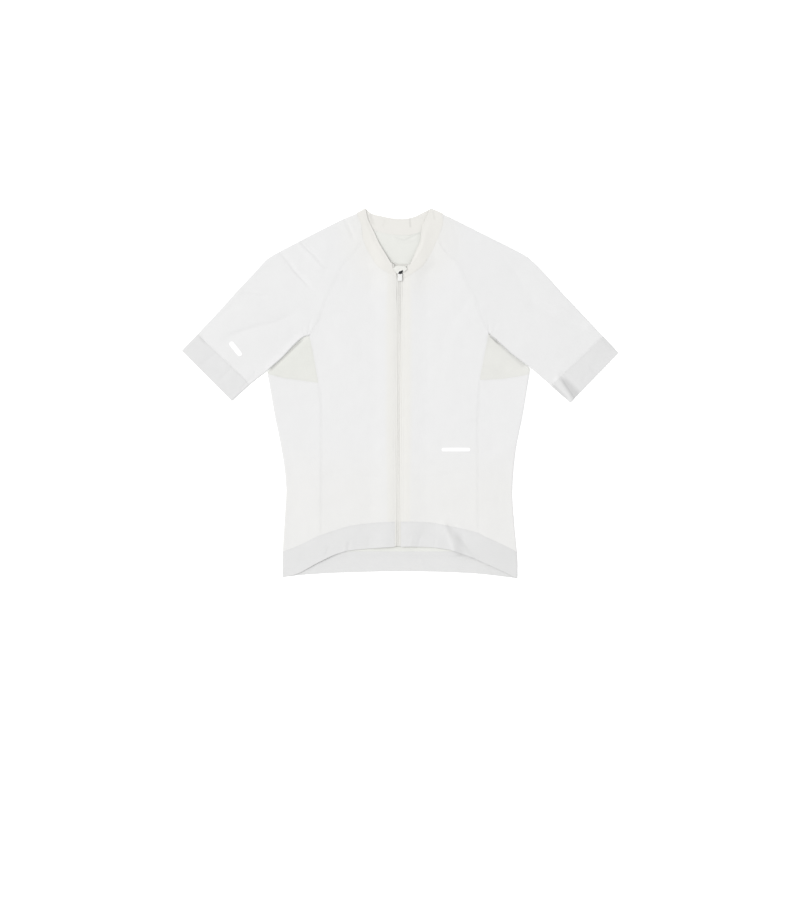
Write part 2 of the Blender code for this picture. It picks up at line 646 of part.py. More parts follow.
def gusset(s, finish):
    """Wrapped round the fold beside the sleeve; rows run from the armpit's
    inner end out to the side."""
    corner = side_corner(s)
    low = by_length(s["gusset_low"] + [corner[0]], N_SIDE)[:-1]
    inner = join(by_length(s["gusset_in"], N_GUSSET), low)
    outline = by_length(s["slit"], N_GUSSET + N_SIDE - 1)
    line, outs = fold_line(outline, (s["hint"], -1.0))
    line[-1], outs[-1] = corner
    shift = 3.2
    dx, dy = inner[1][0] - inner[0][0], inner[1][1] - inner[0][1]
    length = math.hypot(dx, dy)
    inner[0] = (inner[0][0] + dx / length * shift, inner[0][1] + dy / length * shift)
    dx, dy = line[1][0] - line[0][0], line[1][1] - line[0][1]
    length = math.hypot(dx, dy)
    line[0] = (line[0][0] + dx / length * 1.6, line[0][1] + dy / length * 1.6)
    first = [inner[0], tuple(lerp(inner[0][c], line[0][c], 0.5) for c in (0, 1)), line[0]]
    last = [inner[-1], tuple(lerp(inner[-1][c], line[-1][c], 0.5) for c in (0, 1)), line[-1]]
    front = lay_front(patch(inner, line, first, last))
    back = lay_back(patch(line, inner, first[::-1], last[::-1]))
    columns = front + turn(line, outs, True) + back
    half = 0.5 * GAP
    return slab("underarm_" + s["side"], trim(columns, first=half, last=half, start=half, end=half), finish)


def sleeve(s, finish):
    top_outline = by_length(s["shoulder"], N_SLEEVE)
    low_outline = by_length(s["low"], N_SLEEVE)
    top_line, top_out = fold_line(top_outline, (0.0, -1.0))
    low_line, low_out = fold_line(low_outline, (-s["hint"], 1.0))
    top_line[0] = s["neck_sleeve"][0]
    # inner end, front: neckline then raglan seam
    inner_f = join(by_length(s["neck_sleeve"], N_NECK_SLEEVE), by_length(s["raglan_f"], N_RAGLAN))
    inner_f[0], inner_f[-1] = top_line[0], low_line[0]
    n_f = len(inner_f) - 1
    outer_f = [tuple(lerp(top_line[-1][c], low_line[-1][c], k / n_f) for c in (0, 1)) for k in range(n_f + 1)]
    front = lay_front(patch(top_line, low_line, inner_f, outer_f))
    # inner end, back: raglan seam then neckline
    inner_b = join(list(reversed(by_length(s["raglan_b"], N_RAGLAN))),
                   list(reversed(by_length(s["neck_back"], N_NECK_BACK))))
    inner_b[0], inner_b[-1] = low_line[0], top_line[0]
    n_b = len(inner_b) - 1
    outer_b = [tuple(lerp(low_line[-1][c], top_line[-1][c], k / n_b) for c in (0, 1)) for k in range(n_b + 1)]
    back = lay_back(patch(low_line, top_line, inner_b, outer_b))
    columns = back + turn(top_line, top_out, False) + front + turn(low_line, low_out, True)
    columns.append([(Vector((x, y, back_mid(x, y))), Vector((0, 0, -1))) for x, y in low_line])
    half = 0.5 * GAP
    return slab("sleeve_" + s["side"], trim(columns, first=GAP + 0.1, start=half, end=half), finish)


def cuff(s, finish):
    top_outline = by_length(s["cuff_top"], N_CUFF)
    low_outline = by_length(s["cuff_low"], N_CUFF)
    top_line, top_out = fold_line(top_outline, (0.0, -1.0))
    low_line, low_out = fold_line(low_outline, (-s["hint"], 1.0))
    n_f, n_b = N_NECK_SLEEVE + N_RAGLAN, N_RAGLAN + N_NECK_BACK

    def across(a, b, n):
        return [tuple(lerp(a[c], b[c], k / n) for c in (0, 1)) for k in range(n + 1)]

    front = lay_front(patch(top_line, low_line, across(top_line[0], low_line[0], n_f),
                            across(top_line[-1], low_line[-1], n_f)))
    back = lay_back(patch(low_line, top_line, across(low_line[0], top_line[0], n_b),
                          across(low_line[-1], top_line[-1], n_b)))
    columns = back + turn(top_line, top_out, False) + front + turn(low_line, low_out, True)
    columns.append([(Vector((x, y, back_mid(x, y))), Vector((0, 0, -1))) for x, y in low_line])
    return slab("cuff_" + s["side"], trim(columns, first=GAP + 0.1, start=0.5 * GAP), finish)


COLLAR_LIFT = 0.5     # the front edges of the collar stand off the back a little
COLLAR_DROOP = 1.0    # and lie down towards it along their free edge


def collar(finish):
    """One band from zip to zip.  Rows run from the neck seam to the upper
    edge; columns run from the left end, over both folds, to the right end."""
    rows = 3
    seam_l = join(by_length(NECK_SLEEVE_L, N_NECK_SLEEVE), by_length(NECK_FRONT_L, N_FRONT))[::-1]
    seam_r = join(by_length(NECK_SLEEVE_R, N_NECK_SLEEVE), by_length(NECK_FRONT_R, N_FRONT))
    edge_l = by_length(COLLAR_EDGE_L, len(seam_l) - 1)[::-1]
    edge_r = by_length(COLLAR_EDGE_R, len(seam_r) - 1)
    y_l, y_r = seam_l[0][1], seam_r[-1][1]
    seam_l[0] = (zip_x(y_l) - FRONT_IN, y_l)
    seam_r[-1] = (zip_x(y_r) + FRONT_IN, y_r)
    seam_b = join(by_length(NECK_BACK_L, N_NECK_BACK), by_length(NECK_BACK_MID, N_BACK),
                  by_length(NECK_BACK_R, N_NECK_BACK)[::-1])
    edge_b = by_length(COLLAR_EDGE_BACK, len(seam_b) - 1)

    def across(a, b):
        return [tuple(lerp(a[c], b[c], k / rows) for c in (0, 1)) for k in range(rows + 1)]

    def end_across(a, b, column):
        out = []
        for k in range(rows + 1):
            y = lerp(a[1], b[1], k / rows)
            offset = tape_offset(y, column) + (FRONT_IN - TAPE_IN)
            out.append((zip_x(y) + (-offset if column == 1 else offset), y))
        out[0], out[-1] = a, b
        return out

    fold_l = across(seam_l[-1], edge_l[-1])
    fold_r = across(seam_r[0], edge_r[0])
    edge_l[0] = (zip_x(edge_l[0][1]) - tape_offset(edge_l[0][1], 1) - (FRONT_IN - TAPE_IN), edge_l[0][1])
    edge_r[-1] = (zip_x(edge_r[-1][1]) + tape_offset(edge_r[-1][1], 2) + (FRONT_IN - TAPE_IN), edge_r[-1][1])

    def laid(grid, from_zip):
        count = len(grid) - 1
        out = []
        for i, column in enumerate(grid):
            share = i / count if from_zip else 1 - i / count
            window = smooth01(share / 0.25) * smooth01((1 - share) / 0.35)
            out.append([(Vector((x, y, front_mid(x, y) + COLLAR_LIFT * window * (j / rows) ** 1.5
                                 - COLLAR_DROOP * window * smooth01((j / rows - 0.62) / 0.38))),
                         Vector((0, 0, 1))) for j, (x, y) in enumerate(column)])
        return out

    left = laid(patch(end_across(seam_l[0], edge_l[0], 1), fold_l, seam_l, edge_l), True)
    right = laid(patch(fold_r, end_across(seam_r[-1], edge_r[-1], 2), seam_r, edge_r), False)
    back = lay_back(patch(fold_l, fold_r, seam_b, edge_b))

    def outs(line, sign):
        dx, dy = line[-1][0] - line[0][0], line[-1][1] - line[0][1]
        length = math.hypot(dx, dy)
        return [(-dy / length * sign, dx / length * sign)] * len(line)

    columns = (left + turn(fold_l, outs(fold_l, 1.0), True) + back
               + turn(fold_r, outs(fold_r, -1.0), False) + right)
    return slab("collar", trim(columns, start=0.5 * GAP), finish)


def hem_band(finish):
    """One band from zip to zip round the back; rows from the seam down."""
    rows = N_BAND
    side_l = by_length(HEM_SIDE_L, N_SIDE)
    side_r = by_length(HEM_SIDE_R, N_SIDE)
    seam_l = join(side_l, by_length(HEM_FRONT_L, N_FRONT))[::-1]
    seam_r = join(side_r, by_length(HEM_FRONT_R, N_FRONT))
    edge_l = join(by_length(EDGE_SIDE_L, N_SIDE), by_length(EDGE_FRONT_L, N_FRONT))[::-1]
    edge_r = join(by_length(EDGE_SIDE_R, N_SIDE), by_length(EDGE_FRONT_R, N_FRONT))
    for line, sign, end in ((seam_l, -1, 0), (edge_l, -1, 0), (seam_r, 1, -1), (edge_r, 1, -1)):
        y = line[end][1]
        line[end] = (zip_x(y) + sign * FRONT_IN, y)
    line_l, out_l = fold_line(by_length(BAND_SIDE_L, rows), (1.0, 0.0))
    line_r, out_r = fold_line(by_length(BAND_SIDE_R, rows), (-1.0, 0.0))
    seam_l[-1], edge_l[-1] = line_l[0], line_l[-1]
    seam_r[0], edge_r[0] = line_r[0], line_r[-1]

    def zip_side(a, b, sign):
        out = []
        for k in range(rows + 1):
            y = lerp(a[1], b[1], k / rows)
            out.append((zip_x(y) + sign * FRONT_IN, y))
        return out

    left = lay_front(patch(zip_side(seam_l[0], edge_l[0], -1), line_l, seam_l, edge_l))
    right = lay_front(patch(line_r, zip_side(seam_r[-1], edge_r[-1], 1), seam_r, edge_r))
    inner = 150.6
    xs = [lerp(line_l[0][0], -inner, k / (N_SIDE - 1)) for k in range(N_SIDE)]
    xs += [lerp(-138.0, 138.0, k / N_BACK) for k in range(N_BACK + 1)]
    xs += [lerp(inner, line_r[0][0], k / (N_SIDE - 1)) for k in range(N_SIDE)]
    seam_b = [(x, -280.0) for x in xs]
    seam_b[0], seam_b[-1] = line_l[0], line_r[0]
    edge_b = by_length(EDGE_BACK, len(xs) - 1)
    edge_b[0], edge_b[-1] = line_l[-1], line_r[-1]
    back = lay_back(patch(line_l, line_r, seam_b, edge_b))
    columns = left + turn(line_l, out_l, True) + back + turn(line_r, out_r, False) + right
    return slab("hem_band", trim(columns, start=0.5 * GAP), finish)


def pocket(finish):
    columns = []
    for i in range(9):
        x = lerp(-POCKET_HALF, POCKET_HALF, i / 8)
        sag = 3.0 * (1 - (x / POCKET_HALF) ** 2)
        columns.append([(Vector((x, lerp(POCKET_BOTTOM, POCKET_TOP - sag, j / 4), 0.5 * WALL)),
                         Vector((0, 0, -1))) for j in range(5)])
    return slab("pocket", columns, finish)


def strip(name, ys, edges, height, finish, steps=1, wall=WALL):
    """A strip along the zip.  edges(y) gives its two x values."""
    columns = []
    for i in range(steps + 1):
        column = []
        for y in ys:
            a, b = edges(y)
            x = lerp(a, b, i / steps)
            column.append((Vector((x, y, height(x, y))), Vector((0, 0, 1))))
        columns.append(column)
    return slab(name, columns, finish, wall)


def garage_edge(x):
    for low, high in zip(GARAGE_EDGE, GARAGE_EDGE[1:]):
        if x <= high[0]:
            return lerp(low[1], high[1], max(0.0, (x - low[0]) / (high[0] - low[0])))
    return GARAGE_EDGE[-1][1]


def zip_garage(finish):
    """Short flap that covers the head of the zip: its rear layer lies on the
    guard between the tapes, and it turns over at the top and comes down in
    front of them to the slider."""
    rear, front, over = 3.2, 6.1, 7.25      # heights of the layers' middles
    radius, middle = 0.5 * (front - rear), 0.5 * (front + rear)
    columns = []
    for x in sorted([edge[0] for edge in GARAGE_EDGE]):
        at_top = x * (0.75 if x < 0 else 0.86)      # narrower where it turns
        column = [(Vector((at_top, GARAGE_REAR, rear)), Vector((0, 0, -1))),
                  (Vector((at_top, GARAGE_TOP, rear)), Vector((0, 0, -1)))]
        for k in (1, 2, 3):
            phi = math.pi * (k / 4 - 0.5)
            out = Vector((0, math.cos(phi), math.sin(phi)))
            column.append((Vector((at_top, GARAGE_TOP, middle)) + radius * out, out))
        low = garage_edge(x)
        for k in range(6):
            y = lerp(GARAGE_TOP, low, k / 5)
            column.append((Vector((lerp(at_top, x, smooth01(k / 3)), y,
                                   lerp(front, over, smooth01((GARAGE_TOP - y) / 4.5)))), Vector((0, 0, 1))))
        columns.append(column)
    return slab("zip_garage", columns, finish)


def zip_parts(tape_finish, chain_finish, guard_finish, hard_finish, tab_finish):
    low_y = -270.6

    def level(y):
        return under_top(zip_x(y), y)

    run = [low_y, -240.0, -205.0, -170.0, -140.0, -125.0, -112.0, -100.0, -60.0, 0.0, 60.0, 120.0,
           165.0, 178.0, 188.0, 196.0]
    top = [205.0, 212.0, 217.0, 222.0, 228.0]

    def tape_height(x, y):
        return level(y) + 2.1 + slider_rise(y)

    strip("zip_tape_l", run + top, lambda y: (zip_x(y) - tape_offset(y, 1),
          zip_x(y) - tape_offset(y, 1) - TAPE_WIDTH), tape_height, tape_finish)
    strip("zip_tape_r", run + top, lambda y: (zip_x(y) + tape_offset(y, 2),
          zip_x(y) + tape_offset(y, 2) + TAPE_WIDTH), tape_height, tape_finish)
    strip("zip_chain", run + [205.0, 212.6], lambda y: (zip_x(y) - 1.95, zip_x(y) + 1.95),
          lambda x, y: tape_height(x, y) + 0.15, chain_finish, wall=1.3)

    def guard_edges(y):
        open_l = max(0.0, tape_offset(y, 1) - TAPE_IN)
        open_r = max(0.0, tape_offset(y, 2) - TAPE_IN)
        return zip_x(y) - 11.0 - 0.75 * open_l, zip_x(y) + 11.0 + 0.75 * open_r

    strip("zip_guard", [low_y + 2.0] + run[1:] + top[:-1] + [227.4], guard_edges,
          lambda x, y: level(y) + GAP + 0.5 * WALL, guard_finish, steps=2)

    # slider: two plates round the chain, a wedge between the opening tapes
    # and a bridge that carries the tab
    x0 = SLIDER_X
    base = under_top(x0, SLIDER_Y) + SLIDER_RISE
    low_plate = base + 1.6 - 0.4 - PLATE
    high_plate = base + 2.9 + 0.3 + 0.2
    slider = block("zip_slider", (x0 - PLATE_HALF, PLATE_LOW_Y, high_plate),
                   (x0 + PLATE_HALF, PLATE_HIGH_Y, high_plate + PLATE), hard_finish)
    combine(slider, block("b", (x0 - PLATE_HALF, PLATE_LOW_Y, low_plate),
                          (x0 + PLATE_HALF, PLATE_HIGH_Y, low_plate + PLATE)), "UNION")
    combine(slider, block("b", (x0 - 1.0, 213.2, low_plate + 0.2),
                          (x0 + 1.0, 217.2, high_plate + 0.2)), "UNION")
    axis_z = high_plate + PLATE + GAP + BAR_R
    bridge_low = axis_z + BAR_R + GAP
    for end in (-1, 1):
        y_far = AXIS_Y + end * BRIDGE_REACH
        y_near = AXIS_Y + end * (BRIDGE_REACH - 0.8)
        combine(slider, block("b", (x0 - BRIDGE_HALF, min(y_far, y_near), high_plate + 0.2),
                              (x0 + BRIDGE_HALF, max(y_far, y_near), bridge_low + 0.4)), "UNION")
    combine(slider, block("b", (x0 - BRIDGE_HALF, AXIS_Y - BRIDGE_REACH, bridge_low),
                          (x0 + BRIDGE_HALF, AXIS_Y + BRIDGE_REACH, bridge_low + 0.7)), "UNION")
    # tapered corners where the tapes enter
    for sign in (-1, 1):
        for y_corner, reach in ((PLATE_LOW_Y, 1.6), (PLATE_HIGH_Y, 2.2)):
            bm = bmesh.new()
            d = -1 if y_corner == PLATE_LOW_Y else 1
            xs = x0 + sign * PLATE_HALF
            a = Vector((xs - sign * reach, y_corner + d * 0.5, 0.0))
            b = Vector((xs + sign * 0.5, y_corner - d * reach, 0.0))
            c = Vector((xs + sign * 0.5, y_corner + d * 0.5, 0.0))
            low = [bm.verts.new((p + Vector((0, 0, low_plate - 1.0))) * MM) for p in (a, b, c)]
            high = [bm.verts.new((p + Vector((0, 0, bridge_low + 2.0))) * MM) for p in (a, b, c)]
            bm.faces.new(low)
            bm.faces.new(high[::-1])
            for k in range(3):
                bm.faces.new((low[k], low[(k + 1) % 3], high[(k + 1) % 3], high[k]))
            bmesh.ops.recalc_face_normals(bm, faces=bm.faces)
            mesh = bpy.data.meshes.new("c")
            bm.to_mesh(mesh)
            bm.free()
            cutter = bpy.data.objects.new("c", mesh)
            bpy.context.scene.collection.objects.link(cutter)
            combine(slider, cutter, "DIFFERENCE")

    # pull tab: flat tab with a slot, and a round bar at the hinge; its own
    # origin is on the hinge
    bm = bmesh.new()
    corner = 1.6
    ring = []
    for k in range(5):
        a = math.radians(0 - 90 * k / 4)
        ring.append((TAB_HALF - corner + corner * math.cos(a), -TAB_LENGTH + corner + corner * math.sin(a)))
    for k in range(5):
        a = math.radians(-90 - 90 * k / 4)
        ring.append((-TAB_HALF + corner + corner * math.cos(a), -TAB_LENGTH + corner + corner * math.sin(a)))
    neck = NECK_HALF
    ring += [(-TAB_HALF, -2.9), (-neck, -2.6), (-neck, 0.0), (neck, 0.0), (neck, -2.6), (TAB_HALF, -2.9)]
    low = [bm.verts.new((x * MM, y * MM, -0.5 * TAB_THICK * MM)) for x, y in ring]
    high = [bm.verts.new((x * MM, y * MM, 0.5 * TAB_THICK * MM)) for x, y in ring]
    bm.faces.new(low)
    bm.faces.new(high[::-1])
    for k in range(len(ring)):
        n = (k + 1) % len(ring)
        bm.faces.new((low[k], low[n], high[n], high[k]))
    bmesh.ops.recalc_face_normals(bm, faces=bm.faces)
    mesh = bpy.data.meshes.new("zip_pull")
    bm.to_mesh(mesh)
    bm.free()
    mesh.materials.append(tab_finish)
    tab = bpy.data.objects.new("zip_pull", mesh)
    bpy.context.scene.collection.objects.link(tab)
    # the round bar
    bm = bmesh.new()
    bmesh.ops.create_cone(bm, cap_ends=True, segments=16, radius1=BAR_R * MM, radius2=BAR_R * MM,
                          depth=2 * neck * MM)
    for vert in bm.verts:
        vert.co = Vector((vert.co.z, vert.co.y, vert.co.x))
    bmesh.ops.recalc_face_normals(bm, faces=bm.faces)
    mesh = bpy.data.meshes.new("bar")
    bm.to_mesh(mesh)
    bm.free()
    bar = bpy.data.objects.new("bar", mesh)
    bpy.context.scene.collection.objects.link(bar)
    slot = block("slot", (-SLOT_HALF, -SLOT_REACH, -2.0), (SLOT_HALF, -0.001, 2.0))
    combine(tab, slot, "DIFFERENCE")
    combine(tab, bar, "UNION")
    tab.location = (x0 * MM, AXIS_Y * MM, axis_z * MM)
    for piece in (slider, tab):
        piece.data.shade_smooth()
        piece.data.set_sharp_from_angle(angle=math.radians(35))
    return slider, tab


def main():
    for old in list(bpy.data.objects):
        bpy.data.objects.remove(old, do_unlink=True)
    knit = material("knit_white", WHITE, 0.75)
    mesh_knit = material("mesh_white", MESH_WHITE, 0.8)
    cuff_knit = material("cuff_white", BAND_WHITE, 0.7)
    collar_knit = material("collar_white", WARM_WHITE, 0.75)
    band_knit = material("band_white", BAND_WHITE, 0.65)
    tape_weave = material("tape_white", WARM_WHITE, 0.7)
    coil = material("coil_white", WARM_WHITE, 0.45)
    dark = material("slider_dark", DARK, 0.4, 0.6)
    tab_white = material("tab_white", WHITE, 0.35)

    left, right = mirror_sets()
    for s in (left, right):
        front_panel(s, knit)
        side_panel(s, knit)
        gusset(s, mesh_knit)
        sleeve(s, knit)
        cuff(s, cuff_knit)
    back_panel(left, right, knit)
    collar(collar_knit)
    hem_band(band_knit)
    pocket(knit)
    zip_parts(tape_weave, coil, knit, dark, tab_white)
    zip_garage(collar_knit)

    jersey = bpy.data.objects.new("jersey", None)
    bpy.context.scene.collection.objects.link(jersey)
    for piece in list(bpy.data.objects):
        if piece is not jersey and piece.parent is None:
            piece.parent = jersey


main()
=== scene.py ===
"""The looks of the laid-flat cycling jersey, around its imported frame.

Every cloth piece is a thin closed shell on the form of its CAD solid: a plan
patch between its seam curves, laid at the height of the back or of the front
layer, turned over where the cloth folds round an edge, with creases pressed
into it.  Sizes below are in millimetres; meshes are written in metres.
"""

import math

import bpy
import bmesh
import numpy as np
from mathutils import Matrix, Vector


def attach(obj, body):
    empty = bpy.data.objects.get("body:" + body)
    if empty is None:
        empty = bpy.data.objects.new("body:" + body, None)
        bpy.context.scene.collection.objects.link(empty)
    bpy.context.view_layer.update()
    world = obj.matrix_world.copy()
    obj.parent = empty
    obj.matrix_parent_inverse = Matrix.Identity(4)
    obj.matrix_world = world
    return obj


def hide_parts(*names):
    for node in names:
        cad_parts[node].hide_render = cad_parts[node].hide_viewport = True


MM = 0.001
T = 0.8               # cloth thickness
GAP = 0.04            # space at a seam
AIR = 0.8
SEWN_BULGE = 0.0       # how far a sewn rim stands out, as a share of the wall
TURN_STEPS = 9
ROLL = 0.05           # how far a seam sinks into the cloth
ROLL_REACH = 2.6

POCKET_HALF = 135.0
POCKET_TOP = -145.0
POCKET_BOTTOM = -279.6
POCKET_RAMP = 12.0
LIFT = 1.34           # a layer and its gap, where the pocket lies under the back
SOFT_RAMP = 64.0      # the front comes down beside the pocket more slowly

TAPE_IN = 2.3
TAPE_WIDTH = 9.7
FRONT_IN = 5.3
ZIP_FLAT = 19.0
ZIP_RAMP = 33.0
ZIP_RISE = 1.78       # the front lies straight on the zip's tapes
ZIP_EDGE_WALL = 0.30  # the cloth pressed thin along the zip
ZIP_EDGE_REACH = 10.0
SLIDER_Y = 211.0
SLIDER_RISE = 1.2
ZIP_LOW = (-270.5, -3.9)
ZIP_HIGH = (198.6, -0.7)
SLIT_CLOSE = 0.62      # how much closer to the sleeve the gusset's fold lies
COLLAR_LIFT = 0.5
COLLAR_DROOP = 1.0      # the collar's free edge lies down on the back

#            y      left   right
TAPE_OPEN = [
    (205.0,   2.3,   2.3),
    (212.0,   3.0,   3.4),
    (217.0,   5.9,   6.8),
    (222.0,   8.9,  12.2),
    (228.0,   9.6,  16.4),
    (240.0,   9.6,  16.4),
]

# ---------------------------------------------------------- seam curves (x, y)
# Viewer's left
SHOULDER_L = [(-77.0, 317.9), (-104.4, 306.6), (-146.9, 285.3), (-187.6, 264.1), (-226.0, 243.6),
              (-240.7, 232.2), (-260.2, 211.0), (-290.3, 179.1), (-318.6, 147.3), (-348.7, 115.4),
              (-358.4, 104.8)]
SLEEVE_LOW_L = [(-160.4, 102.3), (-171.5, 98.4), (-188.6, 83.6), (-208.0, 63.2), (-235.8, 38.9),
                (-251.3, 26.8), (-265.5, 15.4)]
CUFF_TOP_L = [(-358.4, 104.8), (-372.3, 90.4), (-386.3, 75.6)]
CUFF_LOW_L = [(-265.5, 15.4), (-281.0, 1.5), (-297.4, -13.8)]
SLIT_L = [(-160.0, 102.0), (-171.0, 97.6), (-188.0, 82.9), (-207.4, 62.5), (-229.4, 43.0),
          (-234.6, 38.0), (-234.9, 34.4)]
SIDE_L = [(-234.9, 34.4), (-228.6, -1.4), (-221.2, -43.9), (-212.4, -86.4), (-205.3, -128.9),
          (-201.8, -171.3), (-203.6, -206.7), (-206.2, -249.2), (-208.0, -279.8)]
BAND_SIDE_L = [(-208.0, -279.8), (-208.4, -303.0), (-208.3, -325.5)]
RAGLAN_FRONT_L = [(-65.5, 271.2), (-85.0, 246.4), (-104.4, 225.1), (-120.4, 189.7), (-131.0, 170.3),
                  (-138.1, 149.0), (-145.1, 129.6), (-160.2, 102.1)]
RAGLAN_BACK_L = [(-51.3, 290.6), (-70.8, 258.8), (-93.8, 218.1), (-118.6, 173.8), (-141.6, 131.3),
                 (-160.2, 102.1)]
GUSSET_IN_L = [(-160.2, 102.1), (-152.2, 62.3), (-144.3, 18.1)]
GUSSET_LOW_L = [(-144.3, 18.1), (-178.1, 22.8), (-207.4, 27.2), (-227.0, 32.4)]
SEAM_FRONT_L = [(-144.3, 18.1), (-140.5, -20.9), (-139.8, -82.8), (-139.8, -171.3), (-140.2, -250.8)]
SEAM_BACK_L = [(-144.3, 18.1), (-139.5, -20.9), (-138.2, -82.8), (-138.0, -171.3), (-138.0, -280.0)]
NECK_SLEEVE_L = [(-77.0, 317.9), (-72.6, 306.6), (-68.1, 295.9), (-67.3, 281.8), (-65.5, 271.2)]
NECK_FRONT_L = [(-65.5, 271.2), (-58.4, 253.5), (-51.3, 241.1), (-40.7, 225.1), (-24.8, 214.5),
                (-6.2, 204.4)]
NECK_BACK_L = [(-77.0, 317.9), (-67.3, 305.7), (-51.3, 290.6)]
COLLAR_EDGE_L = [(-61.1, 326.2), (-56.3, 306.6), (-46.9, 287.1), (-37.2, 265.9), (-25.7, 246.4),
                 (-15.6, 229.6)]
HEM_SIDE_L = [(-206.4, -279.8), (-178.1, -268.9), (-147.4, -253.6), (-140.2, -250.8)]
HEM_FRONT_L = [(-140.2, -250.8), (-117.0, -243.0), (-95.6, -236.3), (-68.3, -231.6), (-31.9, -228.0),
               (-8.9, -227.4)]
EDGE_SIDE_L = [(-206.8, -325.2), (-181.1, -319.1), (-147.4, -300.9), (-140.0, -297.2)]
EDGE_FRONT_L = [(-140.0, -297.2), (-117.0, -286.2), (-92.6, -278.8), (-68.3, -275.8), (-43.9, -274.0),
                (-9.2, -271.6)]
# Viewer's right
SHOULDER_R = [(75.0, 317.2), (97.3, 306.6), (139.8, 285.3), (182.3, 264.1), (220.8, 244.0),
              (235.4, 232.2), (256.6, 211.0), (285.0, 179.1), (315.1, 147.3), (345.1, 115.4),
              (359.3, 100.4)]
SLEEVE_LOW_R = [(156.9, 106.9), (163.6, 99.6), (177.8, 87.2), (197.2, 69.6), (229.3, 45.6),
                (249.4, 28.4), (267.3, 12.7)]
CUFF_TOP_R = [(359.3, 100.4), (373.1, 86.0), (386.3, 71.7)]
CUFF_LOW_R = [(267.3, 12.7), (284.0, -2.2), (300.9, -16.6)]
SLIT_R = [(156.3, 106.2), (162.9, 98.9), (177.2, 86.5), (196.6, 68.9), (222.4, 49.4),
          (228.6, 43.6), (229.3, 38.6), (229.0, 33.6)]
SIDE_R = [(229.0, 33.6), (223.0, -1.4), (215.9, -43.9), (207.1, -86.4), (201.8, -123.5),
          (198.6, -171.3), (200.0, -206.7), (203.6, -249.2), (206.7, -279.9)]
BAND_SIDE_R = [(206.7, -279.9), (207.8, -304.0), (207.6, -327.7)]
RAGLAN_FRONT_R = [(66.0, 271.2), (85.0, 246.4), (104.4, 225.1), (120.4, 189.7), (131.0, 170.3),
                  (138.1, 149.0), (144.3, 129.6), (156.6, 106.6)]
RAGLAN_BACK_R = [(50.4, 290.6), (69.0, 258.8), (92.0, 218.1), (116.8, 173.8), (138.1, 134.9),
                 (156.6, 106.6)]
GUSSET_IN_R = [(156.6, 106.6), (149.0, 65.8), (140.7, 23.4)]
GUSSET_LOW_R = [(140.7, 23.4), (173.1, 24.6), (190.8, 26.6), (206.6, 29.2), (222.0, 32.0)]
SEAM_FRONT_R = [(140.7, 23.4), (137.9, -17.3), (137.2, -82.8), (137.2, -171.3), (138.1, -246.7)]
SEAM_BACK_R = [(140.7, 23.4), (138.6, -17.3), (138.0, -82.8), (138.0, -171.3), (138.0, -280.0)]
NECK_SLEEVE_R = [(75.0, 317.2), (76.6, 303.0), (72.6, 288.9), (68.7, 278.2), (66.0, 271.2)]
NECK_FRONT_R = [(66.0, 271.2), (58.4, 253.5), (51.3, 241.1), (40.7, 225.1), (24.8, 212.8),
                (4.8, 201.4)]
NECK_BACK_R = [(75.0, 317.2), (67.3, 305.7), (50.4, 290.6)]
COLLAR_EDGE_R = [(54.0, 326.2), (46.9, 311.9), (40.0, 295.9), (37.2, 281.8), (35.4, 267.6),
                 (27.4, 249.9), (19.8, 231.3)]
HEM_SIDE_R = [(205.1, -279.9), (187.6, -270.5), (157.4, -256.7), (138.1, -246.7)]
HEM_FRONT_R = [(138.1, -246.7), (111.5, -240.0), (81.1, -233.8), (56.6, -229.0), (20.2, -227.1),
               (1.7, -227.1)]
EDGE_SIDE_R = [(206.1, -327.4), (187.6, -317.7), (157.4, -304.1), (138.1, -295.4)]
EDGE_FRONT_R = [(138.1, -295.4), (126.7, -290.3), (96.3, -279.8), (81.1, -275.8), (53.6, -272.4),
                (23.0, -271.4), (1.5, -271.4)]
# Across the back
NECK_BACK_MID = [(-51.3, 290.6), (-28.3, 283.0), (0.0, 280.0), (21.2, 281.0), (50.4, 290.6)]
COLLAR_EDGE_BACK = [(-61.1, 326.2), (-49.6, 317.6), (-31.9, 313.1), (-14.2, 309.6), (7.1, 308.4),
                    (24.8, 311.9), (38.9, 318.7), (54.0, 326.2)]
EDGE_BACK = [(-206.8, -325.2), (-180.5, -322.1), (-123.9, -318.2), (-53.1, -315.9), (0.0, -315.1),
             (70.8, -316.1), (132.8, -319.0), (177.0, -323.6), (206.1, -327.4)]

# Largest folds, as in the solids: a soft ridge (+) or trough (-) from a to b
#     name          x0      y0      x1      y1   half width  height
FOLDS = [
    ("sleeve_l",   -306.0,  98.0, -196.0, 144.0,   9.0,   -0.35),
    ("sleeve_r",    236.0, 152.0,  318.0, 119.0,   9.0,   -1.0),
    ("cuff_r",      288.0,  30.0,  313.0,  -6.0,   6.0,   -2.2),
    ("cuff_r_lip",  280.5,  23.0,  304.0, -12.0,   6.5,    1.7),
    ("hem_r",        88.0, -236.0, 140.0, -292.0,  8.0,   -1.1),
    ("hem_r_lip",    76.0, -238.0, 128.0, -288.0,  9.0,    1.4),
    ("shoulder_l", -212.0, 246.0, -164.0, 188.0,   8.0,   -0.15),
    ("shoulder_m", -176.0, 268.0, -139.0, 226.0,   8.0,    0.8),
]
#      x       y      rx     ry     height
BILLOWS = [
    (-262.0, 128.0,  74.0,  62.0,  2.4),
    (262.0,  128.0,  74.0,  62.0,  2.2),
    (-84.0,   96.0,  66.0, 120.0,  1.3),
    (84.0,    90.0,  66.0, 120.0,  1.3),
    (-92.0, -112.0,  80.0, 130.0,  1.1),
    (90.0,  -120.0,  80.0, 130.0,  1.0),
    (-150.0, 214.0,  60.0,  46.0,  0.9),
    (150.0,  214.0,  60.0,  46.0,  0.9),
]

